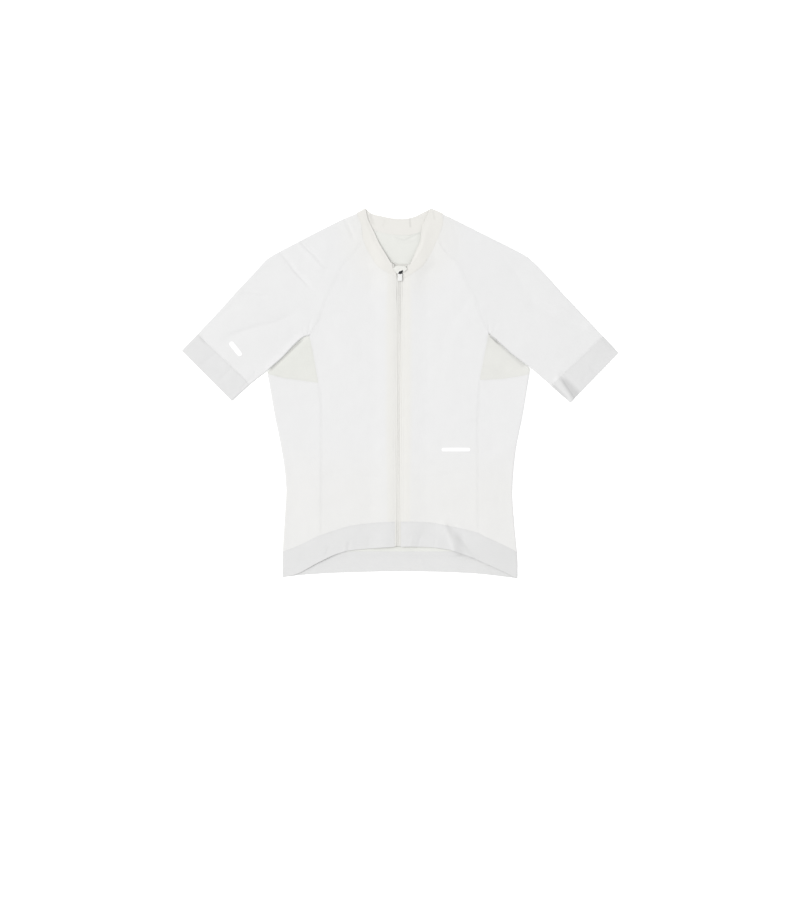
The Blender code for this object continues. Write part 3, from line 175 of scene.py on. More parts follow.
# Creases of the front layer.  Each runs through its points;
# the two widths are to the left and to the right of its direction, and the
# two tapers are the shares of its length over which it fades in and out.
#     name            height  w left w right  fade in  out   points
CREASES = [
    # left shoulder
    ("shoulder_a",     -1.10,   5.5,   1.5,   0.10, 0.55, [(-214.5, 252.0), (-211.0, 247.6), (-199.3, 232.7), (-188.3, 217.5), (-174.5, 202.6), (-161.4, 188.3)]),
    ("shoulder_b",     -1.10,   5.0,   1.5,   0.12, 0.50, [(-177.0, 268.4), (-174.2, 264.9), (-163.6, 253.8), (-151.2, 241.4), (-138.8, 227.9)]),
    ("shoulder_b_2",   -0.50,   2.6,   1.7,   0.20, 0.45, [(-172.0, 269.8), (-165.0, 264.2), (-157.0, 256.0), (-149.0, 247.6)]),
    ("neck_l_lift",     0.50,   9.0,   8.0,   0.25, 0.40, [(-99.3, 308.0), (-97.0, 302.8), (-91.2, 292.7), (-86.3, 281.7), (-83.3, 272.0)]),
    ("neck_l_a",       -1.05,   4.4,   1.4,   0.20, 0.40, [(-99.3, 310.3), (-97.0, 302.8), (-91.2, 292.7), (-86.3, 281.7), (-83.3, 272.0)]),
    ("neck_l_b",       -0.22,   2.4,   1.8,   0.25, 0.40, [(-84.0, 304.0), (-79.5, 294.0), (-77.5, 282.0)]),
    ("sleeve_l_low",   -0.80,   1.5,   4.4,   0.30, 0.30, [(-279.0, 176.2), (-266.0, 175.2), (-252.0, 173.2), (-238.0, 171.8)]),
    ("sleeve_l_t",     -0.80,   4.0,  13.0,   0.30, 0.40, [(-303.0, 101.2), (-269.0, 112.2), (-252.6, 118.0), (-229.0, 122.8), (-193.5, 137.5)]),
    ("sleeve_l_u",     -0.22,   5.0,   7.0,   0.35, 0.40, [(-330.0, 130.0), (-305.0, 147.0), (-284.0, 157.0)]),
    ("slit_l_lip",      1.45,   0.3,   8.0,   0.25, 0.12, [(-165.0, 100.6), (-171.3, 98.0), (-188.3, 83.3), (-207.7, 62.9), (-232.4, 41.2)]),
    ("slit_l_sink",    -1.20,   5.0,   0.3,   0.20, 0.12, [(-165.0, 100.4), (-171.2, 97.8), (-188.2, 83.1), (-207.6, 62.7), (-232.2, 41.0)]),
    ("slit_r_sink",    -1.20,   0.3,   6.5,   0.10, 0.15, [(160.0, 102.6), (163.0, 99.0), (177.3, 86.7), (196.7, 69.1), (224.0, 48.0)]),
    ("pucker_l_a",     -0.40,   1.6,   2.4,   0.10, 0.40, [(-157.0, 103.5), (-152.0, 110.5), (-148.0, 118.0), (-144.4, 124.0), (-139.4, 131.0)]),
    ("pucker_l_b",     -0.34,   1.6,   2.2,   0.10, 0.45, [(-163.0, 103.0), (-161.6, 110.0), (-160.4, 118.0), (-159.0, 127.0)]),
    ("pucker_l_c",     -0.34,   1.3,   1.7,   0.15, 0.45, [(-167.5, 99.8), (-170.4, 108.2), (-171.8, 117.0)]),
    ("pucker_l_d",      0.45,   2.0,   2.0,   0.15, 0.45, [(-155.4, 104.0), (-150.0, 113.0), (-145.6, 121.0), (-140.0, 127.6)]),
    ("pucker_r_a",     -0.35,   2.4,   1.6,   0.10, 0.45, [(153.2, 108.0), (148.0, 114.4), (143.6, 122.0), (138.0, 130.4)]),
    ("pucker_r_b",     -0.36,   1.6,   1.3,   0.10, 0.45, [(158.6, 108.0), (157.0, 117.0), (156.6, 126.5)]),
    ("pucker_r_c",     -0.28,   1.6,   1.6,   0.15, 0.45, [(163.8, 103.6), (167.0, 112.0), (168.6, 121.6)]),
    # right sleeve
    ("sleeve_r_t",     -0.50,   8.0,   6.0,   0.35, 0.40, [(238.9, 151.8), (256.0, 145.5), (274.4, 137.6), (296.0, 129.0), (317.0, 119.7)]),
    ("sleeve_r_ridge",  0.55,   8.0,   7.0,   0.35, 0.40, [(243.0, 163.0), (262.0, 156.4), (281.0, 147.6), (303.0, 138.0)]),
    ("sleeve_r_hi",     0.30,   6.0,   6.0,   0.35, 0.40, [(236.0, 200.0), (263.7, 189.7), (285.0, 181.7)]),
    ("sleeve_r_u",     -0.25,   4.0,   6.0,   0.35, 0.40, [(186.0, 236.0), (205.0, 214.0), (219.0, 189.0)]),
    ("neck_r_diag",    -0.42,   1.8,   2.4,   0.20, 0.35, [(71.5, 265.5), (77.9, 257.0), (86.0, 247.2)]),
    ("neck_r_b",       -0.20,   2.2,   2.6,   0.25, 0.40, [(94.0, 296.0), (100.0, 280.0), (103.0, 264.0)]),
    # chest and body, very soft
    ("chest_l",        -0.30,  10.0,   8.0,   0.40, 0.45, [(-118.0, 170.0), (-92.0, 140.0), (-72.0, 102.0), (-64.0, 60.0)]),
    ("chest_l2",        0.25,   9.0,  11.0,   0.40, 0.45, [(-132.0, 120.0), (-110.0, 88.0), (-98.0, 50.0)]),
    ("chest_r",        -0.30,   8.0,  10.0,   0.40, 0.45, [(120.0, 168.0), (97.0, 134.0), (80.0, 96.0), (72.0, 52.0)]),
    ("chest_r2",        0.22,  10.0,   9.0,   0.40, 0.45, [(60.0, 184.0), (84.0, 160.0), (112.0, 146.0)]),
    ("waist_l",        -0.24,   8.0,   7.0,   0.40, 0.45, [(-176.0, -92.0), (-148.0, -104.0), (-112.0, -108.0)]),
    ("waist_l2",        0.20,   6.0,   8.0,   0.40, 0.45, [(-190.0, -132.0), (-160.0, -140.0), (-124.0, -142.0)]),
    ("waist_r",        -0.26,   7.0,   8.0,   0.40, 0.45, [(184.0, -86.0), (156.0, -100.0), (118.0, -106.0)]),
    ("waist_r2",        0.20,   8.0,   6.0,   0.40, 0.45, [(190.0, -148.0), (164.0, -152.0), (132.0, -150.0)]),
    # the pocket's upper edge pressing through
    ("pocket_l",       -0.16,   2.6,   4.2,   0.20, 0.15, [(-128.0, -139.0), (-109.7, -141.2), (-60.2, -146.6), (-24.0, -149.5)]),
    ("pocket_r",       -0.16,   4.2,   2.6,   0.20, 0.20, [(124.0, -138.0), (97.3, -141.0), (70.8, -144.5), (36.0, -148.4)]),
    # hem
    ("hem_diag",       -0.45,   4.5,   3.0,   0.15, 0.10, [(94.0, -231.0), (104.0, -247.0), (113.3, -263.4), (123.0, -280.0), (133.0, -294.0)]),
    ("hem_diag_hi",     0.95,   5.0,   4.0,   0.20, 0.10, [(80.0, -230.0), (85.0, -246.0), (91.0, -262.0), (97.0, -280.0)]),
    ("hem_t1",         -0.70,   3.0,   1.8,   0.15, 0.45, [(31.6, -273.5), (33.8, -264.0), (37.0, -252.6)]),
    ("hem_t1_hi",       0.35,   2.4,   2.4,   0.15, 0.45, [(19.4, -273.0), (20.4, -264.0), (22.4, -254.0)]),
    ("hem_t2",         -0.62,   1.7,   3.0,   0.15, 0.45, [(-91.6, -280.5), (-91.2, -271.0), (-90.0, -262.0)]),
    ("hem_t2_hi",       0.34,   2.2,   2.2,   0.15, 0.45, [(-98.0, -281.5), (-97.6, -272.0), (-96.0, -262.0)]),
    ("hem_t3",         -0.40,   1.8,   2.4,   0.25, 0.40, [(-17.2, -268.5), (-16.4, -262.0), (-15.8, -255.0)]),
    ("hem_t4",         -0.26,   1.8,   2.4,   0.15, 0.40, [(60.0, -275.0), (62.0, -266.0), (62.6, -256.0)]),
    ("hem_t5",         -0.26,   2.2,   1.8,   0.15, 0.40, [(-134.0, -294.0), (-130.0, -283.0), (-125.0, -272.0)]),
    ("hem_t6",         -0.24,   2.2,   1.8,   0.15, 0.40, [(-56.0, -276.0), (-55.0, -265.0), (-54.4, -254.0)]),
    # left cuff
    ("cuff_l_top",     -0.60,   1.7,   2.6,   0.20, 0.35, [(-352.0, 99.0), (-345.0, 92.0), (-338.0, 84.0)]),
    ("cuff_l_mid",     -0.30,   1.7,   2.2,   0.20, 0.40, [(-256.0, 40.5), (-257.4, 31.0), (-258.8, 20.6)]),
    ("cuff_l_edge",    -0.55,   2.6,   1.8,   0.20, 0.30, [(-282.5, 5.0), (-277.9, 10.2), (-269.0, 20.1), (-261.0, 27.1)]),
    ("cuff_l_b",       -0.30,   3.0,   3.6,   0.30, 0.35, [(-322.0, 19.0), (-309.0, 33.0), (-297.0, 45.0)]),
    ("cuff_l_c",       -0.24,   3.0,   3.6,   0.30, 0.35, [(-353.0, 49.0), (-338.0, 61.0), (-324.0, 72.0)]),
    # right cuff
    ("cuff_r_deep",    -0.90,   8.0,   3.6,   0.45, 0.06, [(291.0, 27.0), (299.5, 15.5), (307.5, 6.0), (314.0, -3.0)]),
    ("cuff_r_strip",    0.70,   3.4,   5.0,   0.40, 0.05, [(284.0, 28.0), (290.5, 16.5), (299.0, 3.6), (307.0, -9.0)]),
    ("cuff_r_up",      -0.60,   2.0,   2.6,   0.10, 0.15, [(358.6, 96.5), (366.0, 88.0), (377.5, 74.4)]),
    ("cuff_r_b",       -0.32,   3.0,   3.6,   0.30, 0.35, [(322.0, 22.0), (331.0, 33.0), (343.0, 42.0)]),
]
# The same, pressed up into the back from below: heights count away from the
# surface it lies on.
BACK_CREASES = [
    ("b_neck_band", 0.75,   1.5,   2.2,   0.20, 0.15, [(-13.0, 276.0), (-3.0, 271.6), (6.7, 269.4), (16.0, 270.2), (24.4, 273.8), (32.0, 281.0)]),
    ("b_yoke_l",    0.34,   2.4,   3.0,   0.25, 0.40, [(-150.0, 262.0), (-126.0, 232.0), (-100.0, 208.0)]),
    ("b_yoke_l2",   0.26,   2.4,   2.6,   0.25, 0.40, [(-210.0, 226.0), (-186.0, 196.0), (-168.0, 170.0)]),
    ("b_yoke_r",    0.32,   3.0,   2.4,   0.25, 0.40, [(152.0, 258.0), (131.0, 230.0), (104.0, 204.0)]),
    ("b_yoke_r2",   0.26,   2.6,   2.6,   0.25, 0.40, [(214.0, 224.0), (196.0, 190.0), (176.0, 166.0)]),
    ("b_mid_a",     0.30,   4.0,   5.0,   0.35, 0.40, [(-86.0, 150.0), (-40.0, 138.0), (14.0, 144.0), (58.0, 160.0)]),
    ("b_mid_b",     0.28,   5.0,   4.0,   0.35, 0.40, [(-104.0, 58.0), (-58.0, 34.0), (-8.0, 26.0)]),
    ("b_mid_c",     0.26,   4.0,   5.0,   0.35, 0.40, [(108.0, 40.0), (66.0, 12.0), (24.0, -6.0)]),
    ("b_low_a",     0.30,   4.0,   4.0,   0.30, 0.40, [(-122.0, -60.0), (-84.0, -82.0), (-40.0, -90.0)]),
    ("b_low_b",     0.24,   4.0,   4.0,   0.30, 0.40, [(118.0, -70.0), (88.0, -96.0), (52.0, -104.0)]),
    ("b_side_l",    0.26,   3.0,   3.6,   0.30, 0.40, [(-206.0, -10.0), (-176.0, -28.0), (-150.0, -36.0)]),
    ("b_side_l2",   0.24,   3.0,   3.6,   0.30, 0.40, [(-192.0, -130.0), (-170.0, -150.0), (-148.0, -158.0)]),
    ("b_side_r",    0.26,   3.6,   3.0,   0.30, 0.40, [(204.0, -16.0), (176.0, -38.0), (152.0, -44.0)]),
    ("b_side_r2",   0.24,   3.6,   3.0,   0.30, 0.40, [(188.0, -140.0), (168.0, -164.0), (146.0, -170.0)]),
    ("b_sleeve_l",  0.34,   4.0,   5.0,   0.35, 0.40, [(-300.0, 104.0), (-262.0, 112.0), (-214.0, 140.0)]),
    ("b_sleeve_l2", 0.26,   3.0,   4.0,   0.35, 0.40, [(-284.0, 150.0), (-252.0, 158.0), (-222.0, 176.0)]),
    ("b_sleeve_r",  0.34,   5.0,   4.0,   0.35, 0.40, [(302.0, 100.0), (268.0, 116.0), (220.0, 138.0)]),
    ("b_sleeve_r2", 0.26,   4.0,   3.0,   0.35, 0.40, [(286.0, 146.0), (258.0, 162.0), (228.0, 172.0)]),
    ("b_cuff_l",    0.30,   2.0,   2.6,   0.20, 0.30, [(-318.0, 16.0), (-306.0, 30.0), (-292.0, 44.0)]),
    ("b_cuff_r",    0.30,   2.6,   2.0,   0.20, 0.30, [(318.0, 12.0), (307.0, 28.0), (296.0, 42.0)]),
    ("b_hem_a",     0.30,   2.0,   2.6,   0.15, 0.40, [(-150.0, -319.0), (-146.0, -304.0), (-140.0, -288.0)]),
    ("b_hem_b",     0.26,   2.6,   2.0,   0.15, 0.40, [(44.0, -315.0), (40.0, -302.0), (38.0, -288.0)]),
    ("b_hem_c",     0.28,   2.2,   2.2,   0.15, 0.40, [(158.0, -320.0), (150.0, -304.0), (146.0, -290.0)]),
]

# Slow unevenness of cloth that lies loose:  wavelength  direction  phase  height
WAVES = [
    (71.0,  17.0, 0.4, 0.11), (53.0,  74.0, 2.1, 0.08), (44.0, 128.0, 4.4, 0.07),
    (33.0,  48.0, 1.3, 0.045), (27.0, 103.0, 5.2, 0.035), (21.0, 161.0, 3.0, 0.026),
]


# ------------------------------------------------------------- small helpers
def smooth01(t):
    t = np.clip(t, 0.0, 1.0)
    return t * t * (3.0 - 2.0 * t)


def zip_x(y):
    t = np.minimum(1.0, (np.asarray(y, float) - ZIP_LOW[0]) / (ZIP_HIGH[0] - ZIP_LOW[0]))
    return ZIP_LOW[1] + (ZIP_HIGH[1] - ZIP_LOW[1]) * t


def tape_offset(y, column):
    return np.interp(y, [row[0] for row in TAPE_OPEN], [row[column] for row in TAPE_OPEN])


def pocket_lift(x, y, grow):
    dx = np.maximum(0.0, np.abs(x) - (138.4 + grow))
    dy = np.maximum(0.0, np.maximum(y - (POCKET_TOP + 1.5 + grow), (POCKET_BOTTOM - 0.8) - y))
    return 1.0 - smooth01(np.hypot(dx, dy) / (POCKET_RAMP + grow * 0.6))


def crease_field(rows, x, y):
    total = np.zeros(np.shape(x))
    for name, height, wl, wr, fade_in, fade_out, points in rows:
        pts = dense(points, 6)
        reach = 3.2 * max(wl, wr)
        near = ((x > pts[:, 0].min() - reach) & (x < pts[:, 0].max() + reach)
                & (y > pts[:, 1].min() - reach) & (y < pts[:, 1].max() + reach))
        if not near.any():
            continue
        px, py = x[near], y[near]
        length = np.concatenate([[0.0], np.cumsum(np.hypot(*np.diff(pts, axis=0).T))])
        best = np.full(px.shape, 1e9)
        signed = np.zeros(px.shape)
        share = np.zeros(px.shape)
        for k in range(len(pts) - 1):
            (ax, ay), (bx, by) = pts[k], pts[k + 1]
            dx, dy = bx - ax, by - ay
            long = math.hypot(dx, dy)
            t = ((px - ax) * dx + (py - ay) * dy) / (long * long)
            low = -1e9 if k == 0 else 0.0
            high = 1e9 if k == len(pts) - 2 else 1.0
            tc = np.clip(t, low, high)
            off = np.hypot(px - (ax + tc * dx), py - (ay + tc * dy))
            closer = off < best
            best[closer] = off[closer]
            side = dx * (py - ay) - dy * (px - ax)
            signed[closer] = np.where(side[closer] >= 0.0, off[closer], -off[closer])
            share[closer] = ((length[k] + tc * long) / length[-1])[closer]
        width = np.where(signed >= 0.0, wl, wr)
        ends = smooth01((share + 0.5 * fade_in) / fade_in) * smooth01((1.0 + 0.5 * fade_out - share) / fade_out)
        total[near] += height * ends * np.exp(-(signed / width) ** 2)
    return total


def waves(x, y, shift=0.0):
    total = np.zeros(np.shape(x))
    for length, angle, phase, height in WAVES:
        a = math.radians(angle + 31.0 * shift)
        run = (x * math.cos(a) + y * math.sin(a)) / length
        total += height * np.sin(2 * math.pi * run + phase + shift
                                 + 0.9 * np.sin(2 * math.pi * (x * math.sin(a) - y * math.cos(a)) / (length * 1.9) + phase))
    return total


def back_mid(x, y):
    x, y = np.asarray(x, float), np.asarray(y, float)
    lift = pocket_lift(x, y, 0.0)
    bump = crease_field(BACK_CREASES, x, y) + 0.5 * np.maximum(0.0, waves(x, y, 1.0))
    return 0.5 + LIFT * lift + bump * (1.0 - 0.6 * lift)


def under_top(x, y):
    dx = np.maximum(0.0, np.abs(x) - 138.4)
    dy = np.maximum(0.0, np.maximum(y - (POCKET_TOP + 3.0), (POCKET_BOTTOM - 0.8) - y))
    return 1.0 + LIFT * (1.0 - smooth01(np.hypot(dx, dy) / SOFT_RAMP))


def slider_rise(y, ramp=26.0):
    return SLIDER_RISE * (1.0 - smooth01((np.abs(y - SLIDER_Y) - 13.0) / ramp))


def zip_distance(x, y):
    d = x - zip_x(y)
    return np.where(d < 0.0, -d - (tape_offset(y, 1) - TAPE_IN), d - (tape_offset(y, 2) - TAPE_IN))


def fold_relief(x, y):
    total = np.zeros(np.shape(x))
    for name, x0, y0, x1, y1, half, height in FOLDS:
        dx, dy = x1 - x0, y1 - y0
        length = math.hypot(dx, dy)
        along = ((x - x0) * dx + (y - y0) * dy) / length
        across = ((x - x0) * dy - (y - y0) * dx) / length
        reach = 0.22 * length
        ends = smooth01((along + reach) / reach) * smooth01((length + reach - along) / reach)
        total += height * ends * np.exp(-(across / half) ** 2)
    for cx, cy, rx, ry, height in BILLOWS:
        total += height * np.exp(-(((x - cx) / rx) ** 2 + ((y - cy) / ry) ** 2))
    return total


def front_mid(x, y):
    x, y = np.asarray(x, float), np.asarray(y, float)
    d = zip_distance(x, y)
    near = 1.0 - smooth01((d - ZIP_FLAT) / ZIP_RAMP)
    flat = under_top(x, y) + AIR + 0.5
    rise = (ZIP_RISE + slider_rise(y, 46.0)) * near
    relief = fold_relief(x, y) * (1.0 - near)
    fine = crease_field(CREASES, x, y) + waves(x, y) * (1.0 - 0.55 * near)
    pucker = 0.10 * near * np.sin(2 * math.pi * y / 31.0 + 1.3 * np.sin(y / 23.0)) * smooth01((d - 4.0) / 6.0)
    least = flat - AIR + 0.36 + rise
    z = flat + rise + relief + fine + pucker
    # a trough flattens out as it nears the layer below
    room = np.maximum(z - least, -3.0)
    return least + np.where(room > 0.35, room, 0.35 * np.exp(np.minimum(room, 0.35) / 0.35 - 1.0))


# ------------------------------------------------------------- plan curves
def dense(points, per=14):
    """Many points along the smooth curve through the given ones."""
    p = np.asarray(points, float)
    if len(p) == 2:
        t = np.linspace(0.0, 1.0, per + 1)[:, None]
        return p[0] + (p[1] - p[0]) * t
    ext = np.vstack([2 * p[0] - p[1], p, 2 * p[-1] - p[-2]])
    t = (np.arange(per) / per)[:, None]
    out = []
    for i in range(len(p) - 1):
        p0, p1, p2, p3 = ext[i:i + 4]
        out.append(0.5 * (2 * p1 + (p2 - p0) * t + (2 * p0 - 5 * p1 + 4 * p2 - p3) * t ** 2
                          + (3 * p1 - p0 - 3 * p2 + p3) * t ** 3))
    return np.vstack(out + [p[-1:]])


def long_of(points):
    line = dense(points)
    return float(np.hypot(*np.diff(line, axis=0).T).sum())


def shares(line):
    steps = np.hypot(*np.diff(np.asarray(line), axis=0).T)
    total = np.concatenate([[0.0], np.cumsum(steps)])
    return total / total[-1]


def along(points, at):
    """The smooth curve's points at the given shares of its length."""
    line = dense(points)
    s = shares(line)
    out = np.stack([np.interp(at, s, line[:, 0]), np.interp(at, s, line[:, 1])], 1)
    out[0], out[-1] = points[0], points[-1]
    return out


def dense_at(points, at):
    """As along, between any two shares."""
    line = dense(points)
    s = shares(line)
    return np.stack([np.interp(at, s, line[:, 0]), np.interp(at, s, line[:, 1])], 1)


NEAR = (0.35, 0.95, 1.8)


def spread(length, cell, start=True, end=True):
    """Shares 0 to 1 along a length, closer together at the ends asked for."""
    a = NEAR[-1] if start else 0.0
    b = NEAR[-1] if end else 0.0
    count = max(2, int(round((length - a - b) / cell)))
    inner = np.linspace(a, length - b, count + 1)
    parts = []
    if start:
        parts.append(np.array([0.0, NEAR[0], NEAR[1]]))
    parts.append(inner)
    if end:
        parts.append(length - np.array([NEAR[1], NEAR[0], 0.0]))
    return np.concatenate(parts) / length


def uneven(length, cell, fine, low, high, start=True, end=True):
    """As spread, with finer cells between two lengths."""
    a = NEAR[-1] if start else 0.0
    b = NEAR[-1] if end else 0.0
    t = np.linspace(a, length - b, 4000)
    inside = smooth01((t - low) / 10.0 + 0.5) * smooth01((high - t) / 10.0 + 0.5)
    per = 1.0 / cell + (1.0 / fine - 1.0 / cell) * inside
    total = np.concatenate([[0.0], np.cumsum(0.5 * (per[1:] + per[:-1]) * np.diff(t))])
    inner = np.interp(np.linspace(0.0, total[-1], max(3, int(round(total[-1])) + 1)), total, t)
    parts = []
    if start:
        parts.append(np.array([0.0, NEAR[0], NEAR[1]]))
    parts.append(inner)
    if end:
        parts.append(length - np.array([NEAR[1], NEAR[0], 0.0]))
    return np.concatenate(parts) / length


def chain(curves, ats):
    """Points along several curves, end to end."""
    out = [along(curves[0], ats[0])]
    for curve, at in zip(curves[1:], ats[1:]):
        out.append(along(curve, at)[1:])
    return np.vstack(out)


def flip(points):
    return list(reversed(points))


def straight(a, b, at):
    a, b = np.asarray(a, float), np.asarray(b, float)
    return a + (b - a) * np.asarray(at)[:, None]


def patch(start, end, first, last):
    """Plan grid between four curves: start and end along j, first and last
    along i."""
    start, end, first, last = (np.asarray(c, float) for c in (start, end, first, last))
    fu, lu, sv, ev = shares(first), shares(last), shares(start), shares(end)
    u = 0.5 * (fu + lu)[:, None] + np.zeros((1, len(start)))
    v = 0.5 * (sv + ev)[None, :] + np.zeros((len(first), 1))
    for _ in range(4):
        u = fu[:, None] + (lu - fu)[:, None] * v
        v = sv[None, :] + (ev - sv)[None, :] * u
    u, v = u[..., None], v[..., None]
    out = (1 - u) * start[None] + u * end[None] + (1 - v) * first[:, None] + v * last[:, None]
    out -= ((1 - u) * (1 - v) * first[0] + u * (1 - v) * first[-1]
            + (1 - u) * v * last[0] + u * v * last[-1])
    return out


def fold_line(outline, inward_hint, front=None):
    """The line where the cloth starts to turn, and the outward directions."""
    front = front or front_mid
    line = np.asarray(outline, float)
    tangent = np.gradient(line, axis=0)
    tangent /= np.linalg.norm(tangent, axis=1)[:, None]
    out = np.stack([tangent[:, 1], -tangent[:, 0]], 1)
    wrong = (out @ np.asarray(inward_hint, float)) > 0
    out[wrong] *= -1
    c = line - 1.4 * out
    r = 0.5 * (front(c[:, 0], c[:, 1]) - back_mid(c[:, 0], c[:, 1]))
    return line - (r + 0.5 * T)[:, None] * out, out


def side_corner(s):
    """Where the side's fold and the gusset's meet: the point where the cloth
    starts to turn, and the outward direction, shared by both pieces."""
    x, y = s["fold"][0]
    ox = -s["hint"]
    r = 0.5 * float(front_mid([x - 1.4 * ox], [y])[0] - back_mid([x - 1.4 * ox], [y])[0])
    return np.array([x - (r + 0.5 * T) * ox, y]), np.array([ox, 0.0])


# ------------------------------------------------------------- laid grids
# A laid grid is (positions, outside directions), both shaped (ni, nj, 3)
def lay_front(grid, height=None):
    z = (height or front_mid)(grid[..., 0], grid[..., 1])
    p = np.dstack([grid, z])
    n = np.zeros_like(p)
    n[..., 2] = 1.0
    return p, n


def lay_back(grid, lift=0.0):
    p = np.dstack([grid, back_mid(grid[..., 0], grid[..., 1]) + lift])
    n = np.zeros_like(p)
    n[..., 2] = -1.0
    return p, n


def turn(line, outs, from_front, steps=TURN_STEPS):
    """Columns strictly inside a fold, from one layer to the other."""
    zf, zb = front_mid(line[:, 0], line[:, 1]), back_mid(line[:, 0], line[:, 1])
    r, zc = 0.5 * (zf - zb), 0.5 * (zf + zb)
    ps, ns = [], []
    for k in range(1, steps):
        phi = math.pi * (0.5 - k / steps) * (1 if from_front else -1)
        d = np.column_stack([math.cos(phi) * outs, np.full(len(line), math.sin(phi))])
        ps.append(np.column_stack([line, zc]) + r[:, None] * d)
        ns.append(d)
    return np.array(ps), np.array(ns)


def stack(*parts):
    return np.concatenate([p for p, n in parts]), np.concatenate([n for p, n in parts])


def edge_move(laid, first=0.0, last=0.0, start=0.0, end=0.0):
    """Draw edges back from the seams, within the cloth."""
    p, n = laid[0].copy(), laid[1]

    def pull(edge, inner):
        run = np.gradient(edge, axis=0)
        run /= np.maximum(1e-9, np.linalg.norm(run, axis=1))[:, None]
        d = inner - edge
        d -= run * (d * run).sum(1)[:, None]
        return d / np.maximum(1e-9, np.linalg.norm(d, axis=1))[:, None]

    moves = np.zeros_like(p)
    if first:
        moves[0] += first * pull(p[0], p[2])
    if last:
        moves[-1] += last * pull(p[-1], p[-3])
    if start:
        moves[:, 0] += start * pull(p[:, 0], p[:, 2])
    if end:
        moves[:, -1] += end * pull(p[:, -1], p[:, -3])
    return p + moves, n


def seam_roll(laid, first=0.0, last=0.0, start=0.0, end=0.0, reach=ROLL_REACH):
    """Sink the edges that are sewn, along the cloth's own inward side."""
    p, n = laid[0].copy(), laid[1]

    def run(q):
        d = np.linalg.norm(np.diff(q, axis=0), axis=-1)
        return np.concatenate([np.zeros((1,) + d.shape[1:]), np.cumsum(d, axis=0)])

    drop = np.zeros(p.shape[:2])
    if first:
        drop = np.maximum(drop, first * (1 - smooth01(run(p) / reach)))
    if last:
        drop = np.maximum(drop, last * (1 - smooth01(run(p[::-1])[::-1] / reach)))
    q = np.swapaxes(p, 0, 1)
    if start:
        drop = np.maximum(drop, start * (1 - smooth01(run(q).T / reach)))
    if end:
        drop = np.maximum(drop, end * (1 - smooth01(run(q[::-1])[::-1].T / reach)))
    return p - n * drop[..., None], n


def zip_edge_thin(laid, first=False, last=False, least=ZIP_EDGE_WALL, reach=ZIP_EDGE_REACH):
    """The cloth's edge along the zip is pressed thin against the tape: its
    lower face keeps its height and the upper one comes down to it."""
    p, n = laid[0].copy(), laid[1]
    wall = np.full(p.shape[:2], T)
    for edge, asked in ((0, first), (-1, last)):
        if not asked:
            continue
        q = p if edge == 0 else p[::-1]
        d = np.linalg.norm(np.diff(q, axis=0), axis=-1)
        d = np.concatenate([np.zeros((1,) + d.shape[1:]), np.cumsum(d, axis=0)])
        share = 1.0 - smooth01(d / reach)
        share = share if edge == 0 else share[::-1]
        wall = wall - (T - least) * share
    p -= n * (0.5 * (T - wall))[..., None]
    return (p, n), wall


# ------------------------------------------------------------- mesh making
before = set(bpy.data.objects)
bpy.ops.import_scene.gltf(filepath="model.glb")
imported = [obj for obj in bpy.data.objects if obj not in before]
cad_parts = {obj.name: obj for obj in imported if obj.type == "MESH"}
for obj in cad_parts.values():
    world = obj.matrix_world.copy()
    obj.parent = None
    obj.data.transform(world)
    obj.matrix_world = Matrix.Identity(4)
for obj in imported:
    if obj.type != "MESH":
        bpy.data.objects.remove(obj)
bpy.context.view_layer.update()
scene = bpy.context.scene


def mesh_object(name, verts, faces, material, smooth=True, sharp=None):
    mesh = bpy.data.meshes.new(name)
    mesh.from_pydata(np.asarray(verts, float) * MM, [], faces)
    mesh.validate()
    if smooth:
        mesh.shade_smooth()
        if sharp:
            mesh.set_sharp_from_angle(angle=math.radians(sharp))
    mesh.materials.append(material)
    made = bpy.data.objects.new(name, mesh)
    scene.collection.objects.link(made)
    return made


